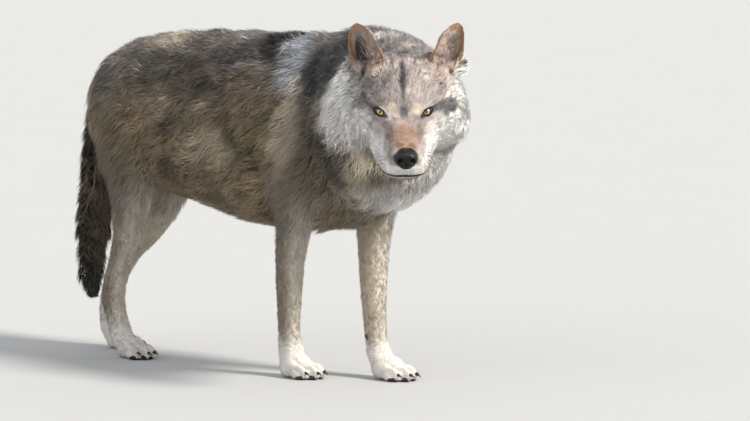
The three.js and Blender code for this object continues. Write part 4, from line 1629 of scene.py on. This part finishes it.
@dataclass
class Eye:
    """One eye: a glossy ball with an amber iris, and the dark-rimmed lids round it."""

    stance: Stance
    skin: Skin
    opening: Opening
    radius: float = 12.4
    iris: float = 6.8
    pupil: float = 2.2
    cornea: float = 1.1
    shoulder: float = 11.2  # how far from its middle the ball still curves under the lids
    gaze: tuple[float, float, float] = (0.666, -0.740, 0.096)

    def gaze_axes(self) -> Array:
        """The ball's axes: along the gaze, to the side, and up."""
        out = unit(np.array(self.gaze))
        right = unit(np.cross(np.array([0.0, 0.0, 1.0]), out))
        return np.stack([out, right, np.cross(out, right)])

    def ball(self) -> bpy.types.Object:
        """The ball: rings about the gaze, closed at both poles, with the cornea raised.

        A ring's angle from the gaze runs from 0 to half a turn, closer together over the
        iris. Within the iris the surface stands out by the cornea's height.
        """
        centre, axes = self.opening.centre, self.gaze_axes()
        rings, around = 56, 72
        s = np.linspace(0.0, 1.0, rings + 2)[1:-1]
        angle = math.pi * (0.45 * s + 0.55 * s**2.2)
        turn = np.arange(around) / around * WHOLE_TURN
        angle, turn = np.meshgrid(angle, turn, indexing="ij")
        edge = math.asin(self.iris / self.radius)
        radius = self.radius + self.cornea * (1 - smooth(0.0, edge * 1.15, angle))
        local = np.stack([np.cos(angle), np.sin(angle) * np.cos(turn), np.sin(angle) * np.sin(turn)], -1)
        points, faces = closed_tube(centre + (local * radius[..., None]) @ axes)
        points[-2] = centre + axes[0] * (self.radius + self.cornea)
        points[-1] = centre - axes[0] * self.radius
        piece = mesh_object(
            self.opening.node + "_ball", self.stance.to_frame(points), outward(points - centre, faces)
        )
        paint(piece.data, self.ball_colours((points - centre) @ axes.T), "Eye")
        piece.data.materials.append(EYE_FINISH.material())
        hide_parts(self.opening.node)
        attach(piece, "root")
        return piece

    def ball_colours(self, local: Array) -> Array:
        """Pupil, fibred amber iris with a dark rim, and a brownish white.

        The distance from the gaze's axis says which: the iris grows lighter outwards, with
        spokes from a wave of the angle round the axis, and ends in a broad dark ring.
        """
        away = np.hypot(local[:, 1], local[:, 2])
        around = np.arctan2(local[:, 2], local[:, 1])
        spokes = 0.5 + 0.5 * np.sin(around * 23 + 2.0 * np.sin(around * 7))
        lighter = smooth(self.pupil, self.iris * 0.8, away)
        amber = mix(linear(0.50, 0.33, 0.12), linear(0.84, 0.67, 0.32), lighter)
        shadow = 1.0 - 0.45 * smooth(0.5, 4.0, local[:, 2])  # what the upper lid shades
        amber = amber * ((0.8 + 0.25 * spokes) * shadow)[:, None]
        colour = mix(np.full(3, 0.004), amber, smooth(self.pupil - 0.2, self.pupil + 0.5, away))
        colour = mix(colour, linear(0.05, 0.04, 0.035), smooth(self.iris - 1.6, self.iris - 0.3, away))
        white = smooth(self.iris + 0.4, self.iris + 1.8, away) * (local[:, 0] > 0)
        return mix(colour, linear(0.085, 0.06, 0.05), white)

    def lids(self) -> bpy.types.Object:
        """Upper and lower lid as one rim round the almond opening.

        Rings run from just inside the ball's surface, over the rounded edge of the lid, and
        outwards until they sink into the skin. Outside the opening they keep above the skin.
        """
        centre, axes = self.opening.centre, self.opening.axes
        around = 120
        u, v = self.opening.edge(np.arange(around) / around * WHOLE_TURN)
        # outward growth, height above the ball, height above the skin, and blackness
        profile = np.array(
            [
                [-0.8, -1.0, -9.0, 1.0], [-0.35, 0.3, -9.0, 1.0], [0.2, 1.15, 0.2, 1.0],
                [0.9, 1.75, 0.9, 1.0], [1.7, 1.9, 1.15, 1.0], [2.6, 1.8, 1.0, 1.0],
                [3.6, 1.4, 0.5, 0.9], [4.8, 0.6, -0.4, 0.8], [6.0, -0.4, -1.6, 0.7],
            ]
        )
        # the almond's sides are flat, so it grows mostly upwards and downwards
        growth = unit(np.stack([u, v * 2.4], 1)) * profile[:, 0][:, None, None]
        u, v = u + growth[..., 0], v + growth[..., 1]
        flat = np.hypot(u, v)
        deep = np.sqrt(self.radius**2 - np.minimum(flat, self.shoulder) ** 2)
        deep -= np.maximum(flat - self.shoulder, 0.0) * 0.75
        rings = (centre + np.stack([deep + profile[:, 1][:, None], u, v], -1) @ axes).reshape(-1, 3)
        near, out = self.skin.conform(rings)
        height = ((rings - near) * out).sum(1)
        least = np.repeat(profile[:, 2], around)
        points = rings + out * np.maximum(least - height, 0.0)[:, None] * (least > -5)[:, None]
        faces = grid_faces(len(profile), around, True)
        a, b, c = (points[faces[:, i]] for i in range(3))
        if (np.cross(b - a, c - a) @ axes[0]).sum() < 0:
            faces = faces[:, ::-1]
        piece = mesh_object(self.opening.node + "_lids", self.stance.to_frame(points), faces)
        black = np.repeat(profile[:, 3], around)
        paint(piece.data, mix(Hair.ASH.rgb, linear(0.03, 0.027, 0.027), black), "Lid")
        piece.data.materials.append(LID_FINISH.material())
        wall = piece.modifiers.new("wall", "SOLIDIFY")
        wall.thickness, wall.offset = 0.5 * MM, -1.0
        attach(piece, "root")
        return piece


@dataclass
class Nose:
    """The nose leather: a squared-off ball with comma nostrils and a groove down its middle."""

    stance: Stance
    centre: tuple[float, float, float] = NOSE_CENTRE
    halves: tuple[float, float, float] = (15.5, 22.3, 19.6)

    def build(self) -> bpy.types.Object:
        """Builds the leather from rings about the head's x axis.

        A point starts on a ball whose sides are squared by powers below 1, narrows below the
        middle, and is pushed in at each nostril, along the slit that runs out of it and down
        the middle groove.
        """
        rings, around = 72, 96
        angle, turn = np.meshgrid(
            np.linspace(0.0, math.pi, rings + 2)[1:-1], np.arange(around) / around * WHOLE_TURN, indexing="ij"
        )
        power = 0.82
        across = np.sign(np.cos(turn)) * np.abs(np.cos(turn)) ** power
        rise = np.sign(np.sin(turn)) * np.abs(np.sin(turn)) ** power
        x = np.cos(angle)
        x = np.sign(x) * np.abs(x) ** 0.62
        ring = np.sin(angle) ** 0.8
        y, z = ring * across, ring * rise
        narrow = 1.0 - 0.40 * smooth(0.0, 1.0, -z) - 0.10 * smooth(0.5, 1.0, z)
        px, py, pz = x * self.halves[0], y * self.halves[1] * narrow, z * self.halves[2]
        front = smooth(-0.1, 0.5, x)
        side = np.abs(py)
        nostril = np.exp(-(((side - 11.6) / 3.9) ** 2) - (((pz - 4.2) / 4.3) ** 2))
        slit = np.exp(-(((side - 15.2) / 4.8) ** 2) - (((pz + 1.2 + 0.3 * (side - 12)) / 2.0) ** 2))
        groove = np.exp(-((py / 1.2) ** 2)) * smooth(7.0, -3.0, pz)
        wing = np.exp(-(((side - 14.0) / 4.0) ** 2) - (((pz - 10.5) / 3.0) ** 2))
        px = px + front * (-8.5 * nostril - 4.5 * slit - 2.2 * groove + 1.3 * wing)
        points, faces = closed_tube(self.stance.from_head(np.stack([px, py, pz], -1) + np.array(self.centre)))
        middle = self.stance.from_head(np.array(self.centre))
        half = self.stance.head_axes[0] * self.halves[0]
        points[-2], points[-1] = middle + half, middle - half
        piece = mesh_object("nose_leather", self.stance.to_frame(points), outward(points - middle, faces))
        # painted shade: the nostrils and their slits are darker than the leather round them
        hollow = np.concatenate([(front * (nostril + 0.7 * slit)).ravel(), [0.0, 0.0]])
        colour = mix(linear(0.04, 0.038, 0.042), linear(0.006, 0.005, 0.005), np.clip(hollow * 1.4, 0, 1))
        paint(piece.data, colour, "Nose")
        piece.data.materials.append(NOSE_FINISH.material())
        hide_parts("nose")
        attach(piece, "root")
        return piece


@dataclass
class Mouth:
    """The closed mouth: a black line of lip, and the whiskers over it."""

    stance: Stance
    skin: Skin
    meeting: MouthLine = MouthLine()
    reach: float = 107.0
    half_wide: float = 60.0
    whisker_radius: float = 0.32

    def line(self) -> tuple[Array, Array]:
        """The line of the mouth round the muzzle, from one corner to the other, and its normals."""
        s = np.linspace(-1.0, 1.0, 121)
        angle = s * math.pi / 2
        corner = self.meeting.corner
        x = corner + (self.reach - corner) * np.cos(angle) ** 0.75
        y = np.sign(s) * np.abs(np.sin(angle)) ** 0.8 * self.half_wide
        aim = self.stance.from_head(np.stack([x, y, self.meeting.height(x)], 1))
        for _ in range(3):
            aim, _ = self.skin.conform(aim)
            local = self.stance.to_head(aim)
            local[:, 2] = self.meeting.height(local[:, 0])
            aim = self.stance.from_head(local)
        return self.skin.conform(aim)

    def lips(self) -> bpy.types.Object:
        """A flattened tube along the mouth's line, thickest in front and again before the corners."""
        path, out = self.line()
        count = len(path)
        along = unit(np.gradient(path, axis=0))
        side = unit(np.cross(along, out))
        s = np.abs(np.linspace(-1.0, 1.0, count))
        half_high = 1.0 + 1.9 * bell(s, 0.0, 0.24) + 1.6 * bell(s, 0.82, 0.16)
        half_deep = 2.4 + 1.4 * smooth(0.35, 0.75, s)
        fade = np.sin(np.linspace(0.02, math.pi - 0.02, count)) ** 0.35
        points, faces = closed_tube(rings_round(path, side, out, half_high * fade, half_deep * fade, 12))
        piece = mesh_object("lip_line", self.stance.to_frame(points), outward(points - points.mean(0), faces))
        piece.data.materials.append(LIP_FINISH.material())
        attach(piece, "root")
        return piece

    def whiskers(self) -> bpy.types.Object:
        """Rows of fine bristles on each side of the upper lip, curving back and down."""
        rng = np.random.default_rng(77)
        rows = itertools.product((1, -1), (62.0, 74.0, 86.0, 96.0), (-48.0, -56.0, -64.0))
        parts = []
        for hand, x, z in rows:
            spot = np.array([x + rng.normal(0, 1.5), hand * 38.0, z + rng.normal(0, 1.2)])
            way = unit(np.array([0.1, hand * 1.0, -0.25]) + rng.normal(0, 0.12, 3))
            parts.append(self.whisker(spot, way, rng.uniform(38, 58)))
        points, faces = joined(parts)
        piece = mesh_object("whiskers", self.stance.to_frame(points), faces)
        piece.data.materials.append(WHISKER_FINISH.material())
        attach(piece, "root")
        return piece

    def whisker(self, spot: Array, way: Array, length: float) -> tuple[Array, Array]:
        """One bristle, which leaves the skin straight and bends by the square of the way along.

        Args:
            spot: A place by its root, in the head's frame.
            way: The direction in which it starts, in the same frame.
            length: Its length in millimetres.

        Returns:
            Its points and triangles.
        """
        root, _ = self.skin.conform(self.stance.from_head(spot)[None])
        bend = np.array([-0.9, 0.0, -0.35])
        t = np.linspace(0.0, 1.0, 7)[:, None]
        local = way * t * length + bend * (t**2) * length * 0.45
        path = root + local @ self.stance.head_axes
        radius = self.whisker_radius * (1 - 0.85 * t[:, 0])
        along = unit(np.gradient(path, axis=0))
        side = unit(np.cross(along, np.array([0.0, 0.0, 1.0])))
        points, faces = closed_tube(rings_round(path, side, np.cross(side, along), radius, radius, 4))
        return points, outward(points - points.mean(0), faces)


# ---- Feet ------------------------------------------------------------------------------------


@dataclass
class Feet:
    """Claws and pads of the four feet."""

    stance: Stance
    around: int = 16
    rings: int = 14
    claw_radius: float = 3.5
    pad_high: float = 5.5
    pad_clear: float = 0.1

    def claw_names(self) -> list[str]:
        """Every claw's node."""
        feet = itertools.product(("fore", "hind"), ("left", "right"))
        return [toe for foot in feet for toe in toes(*foot)] + ["dewclaw_left", "dewclaw_right"]

    def claw(self, name: str) -> tuple[Array, Array, Array]:
        """One claw between its node's high rear corner and low front one.

        The middle line bows out as a square of the way along, and the ring narrows to a
        blunt tip, deeper than it is wide.

        Returns:
            The points, the triangles and the colour at each point.
        """
        low, high = self.stance.corners(name)
        y = (low[1] + high[1]) / 2
        if name.startswith("dewclaw"):
            root, tip = np.array([low[0] + 3, y, high[2] - 1]), np.array([high[0] - 2.5, y, low[2] + 0.6])
            bow = np.array([1.2, 0.0, 0.0])
        else:
            root, tip = np.array([low[0] - 1, y, high[2] - 3.2]), np.array([high[0] - 0.4, y, low[2] + 0.9])
            bow = np.array([0.0, 0.0, 1.6])
        t = np.linspace(0.0, 1.0, self.rings)
        way = t[:, None]
        path = root * (1 - way) + tip * way + bow * 4 * way * (1 - way)
        radius = self.claw_radius * (1 - 0.86 * t**1.6)
        along = unit(np.gradient(path, axis=0))
        side = np.broadcast_to(np.array([0.0, 1.0, 0.0]), along.shape)
        rings = rings_round(path, side, unit(np.cross(along, side)), 0.72 * radius, radius, self.around)
        points, faces = closed_tube(rings)
        shade = smooth(0.25, 1.0, np.concatenate([np.repeat(t, self.around), [0.0, 1.0]]))
        colour = mix(linear(0.13, 0.11, 0.10), linear(0.40, 0.35, 0.30), shade)
        return points, outward(points - points.mean(0), faces), colour

    def claws(self) -> bpy.types.Object:
        """All claws as one piece, horn-coloured with paler tips."""
        made = [self.claw(name) for name in self.claw_names()]
        points, faces = joined([(p, f) for p, f, _ in made])
        piece = mesh_object("claws", self.stance.to_frame(points), faces)
        paint(piece.data, np.concatenate([c for _, _, c in made]), "Horn")
        piece.data.materials.append(CLAW_FINISH.material())
        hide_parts(*self.claw_names())
        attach(piece, "root")
        return piece

    def pads(self) -> bpy.types.Object:
        """A pad under each toe and a broad one under each heel, flat on the floor.

        Each is a ball whose lower half is pressed flat: heights below the middle are
        drawn to the floor by a power of a half.
        """
        parts = []
        ends = (("fore", 14.0, 1.0), ("hind", 11.8, 0.88))  # with the toe pads' place and size
        for (end, reach, size), side in itertools.product(ends, ("left", "right")):
            spots = []
            for toe in toes(end, side):
                low, high = self.stance.corners(toe)
                spots.append((low[0] - reach, (low[1] + high[1]) / 2, 13.5 * size, 9.0 * size))
            low, high = self.stance.corners(f"paw_{end}_{side}")
            heel = min(spot[0] for spot in spots) - 31 * size
            spots.append((heel, (low[1] + high[1]) / 2, 19 * size, 22 * size))
            parts += [self.pad(*spot) for spot in spots]
        points, faces = joined(parts)
        piece = mesh_object("foot_pads", self.stance.to_frame(points), faces)
        piece.data.materials.append(PAD_FINISH.material())
        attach(piece, "root")
        return piece

    def pad(self, x: float, y: float, half_long: float, half_wide: float) -> tuple[Array, Array]:
        """One pad, at a place on the floor and of a half length and a half width."""
        angle, turn = np.meshgrid(
            np.linspace(0, math.pi, 12)[1:-1], np.arange(20) / 20 * WHOLE_TURN, indexing="ij"
        )
        z = np.cos(angle)
        z = np.where(z < 0, -np.sqrt(np.abs(z)), z) * self.pad_high
        ring = np.sin(angle)
        local = np.stack([ring * np.cos(turn) * half_long, ring * np.sin(turn) * half_wide, z], -1)
        points, faces = closed_tube(local + np.array([x, y, self.pad_high + self.pad_clear]))
        points[-2], points[-1] = (x, y, 2 * self.pad_high + self.pad_clear), (x, y, self.pad_clear)
        return points, outward(points - points.mean(0), faces)


# ---- Studio ----------------------------------------------------------------------------------


@dataclass
class Studio:
    """The floor, the light and the camera."""

    stance: Stance
    place: tuple[float, float, float] = (6.72046, -7.37262, 1.308458)
    azimuth: float = 42.0
    elevation: float = 5.5
    lens: float = 234.15

    def build(self) -> None:
        """Sets up all of it."""
        self.camera()
        self.floor()
        self.lights()

    def camera(self) -> None:
        """The camera, with its place counted from the floor between the forefeet."""
        data = bpy.data.cameras.new("camera")
        data.sensor_width, data.sensor_fit, data.lens = 36.0, "HORIZONTAL", self.lens
        data.clip_start, data.clip_end = 0.1, 200.0
        camera = bpy.data.objects.new("camera", data)
        camera.location = np.array(self.place) + self.stance.origin
        camera.rotation_euler = (math.radians(90 - self.elevation), 0.0, math.radians(self.azimuth))
        bpy.context.scene.collection.objects.link(camera)
        bpy.context.scene.camera = camera

    def floor(self) -> None:
        """A wide pale floor."""
        corners = np.array([[-60, -60, 0], [60, -60, 0], [60, 60, 0], [-60, 60, 0]], float)
        floor = mesh_object("floor", corners, np.array([[0, 1, 2, 3]]), False)
        floor.data.materials.append(FLOOR_FINISH.material())

    def lights(self) -> None:
        """A broad soft sun from the camera's right, a fill from its left, and a pale sky."""
        scene = bpy.context.scene
        scene.view_settings.view_transform = "Standard"
        world = bpy.data.worlds.new("sky")
        world.use_nodes = True
        ground = world.node_tree.nodes["Background"]
        ground.inputs["Color"].default_value = (0.94, 0.96, 1.0, 1.0)
        ground.inputs["Strength"].default_value = 0.9
        scene.world = world
        for name, turn, rise, strength, angle, colour in (
            ("key_sun", self.azimuth + 56, 39, 5.2, 12, (1.0, 0.965, 0.90)),
            ("fill_sun", self.azimuth - 46, 26, 0.75, 60, (0.94, 0.96, 1.0)),
        ):
            data = bpy.data.lights.new(name, "SUN")
            data.energy, data.angle, data.color = strength, math.radians(angle), colour
            light = bpy.data.objects.new(name, data)
            light.rotation_euler = (math.radians(90 - rise), 0.0, math.radians(turn))
            scene.collection.objects.link(light)


# ---- Assembly --------------------------------------------------------------------------------


def coats() -> list[Coat]:
    """Every region of the coat, with its number of tufts."""
    scale = 1.0
    trunk, neck, ears = Region((Part.TRUNK,)), Region((Part.NECK,)), Region((Part.EAR,), 1)
    ruff, face = Region((Part.SKULL,), ruff=1.0), Region((Part.SKULL, Part.MUZZLE), ruff=-1.0)
    lining = Region((Part.EAR,), 1, lining=True)
    forelegs, hindlegs = Region((Part.FORELEG,)), Region((Part.HINDLEG,))
    paws, tail = Region((Part.PAW,)), Region((Part.TAIL,), 2)
    short = {"joints": 2, "per_piece": 40000}
    under = {"gather": 0.5, "stray": 0.25, "scale": 0.62, "lift": 0.8, **short}
    table = [
        Coat("coat_trunk", "grizzled_coat", trunk, 31000, 11, lock=34.0, gather=0.6, stray=0.2),
        Coat("under_trunk", "grizzled_coat", trunk, 50000, 31, lock=26.0, **under),
        Coat("coat_neck", "mane", neck, 15000, 12, lock=32.0, gather=0.6, stray=0.18),
        Coat("under_neck", "mane", neck, 18000, 32, lock=24.0, **under),
        Coat("coat_ruff", "face_fur", ruff, 19500, 13, lock=22.0, gather=0.55, variety=0.3),
        Coat("coat_face", "face_fur", face, 38000, 14, lock=8.0, gather=0.35, variety=0.2, **short),
        Coat("coat_ears", "ear_fur", ears, 15000, 15, lock=3.0, gather=0.1, stray=0.2, variety=0.15, **short),
        Coat(
            "ear_lining", "ear_fur", lining, 900, 25, lock=7.0, gather=0.3, lift=3.6, stray=0.25, lining=17.0
        ),
        Coat("coat_forelegs", "leg_fur", forelegs, 30000, 16, lock=9.0, gather=0.3, variety=0.12, **short),
        Coat("coat_hindlegs", "leg_fur", hindlegs, 25000, 17, lock=14.0, gather=0.4, variety=0.2, **short),
        Coat("coat_paws", "pale_fur", paws, 11000, 18, lock=8.0, gather=0.3, variety=0.15, **short),
        Coat("coat_tail", "dark_fur", tail, 8000, 19, lock=22.0, gather=0.5),
    ]
    for coat in table:
        coat.count = int(coat.count * scale)
    return table


def main() -> None:
    """Builds the wolf over its frame, piece by piece."""
    logging.basicConfig(level=logging.INFO, format="%(message)s", stream=sys.stdout)
    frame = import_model()
    stance = Stance()
    Studio(stance).build()
    bones = Bones(stance)
    openings = eye_openings(stance)
    lie = Lie(stance, bones, openings)
    markings = Markings()
    skin = Skin(stance, bones, lie)
    skin.build(frame["nodes"])
    skin.dress(markings)
    LOG.info("skin: one piece over %d nodes", len(FLESH))
    skin_fur = lie.at(skin.points, skin.normals)
    for coat in coats():
        coat.build(skin, skin_fur, lie, markings)
    for opening in openings:
        eye = Eye(stance, skin, opening)
        eye.ball()
        eye.lids()
    LOG.info("eyes and lids")
    Nose(stance).build()
    mouth = Mouth(stance, skin)
    mouth.lips()
    mouth.whiskers()
    LOG.info("nose, lips and whiskers")
    feet = Feet(stance)
    feet.claws()
    feet.pads()
    LOG.info("claws and pads")


if __name__ == "__main__":
    main()
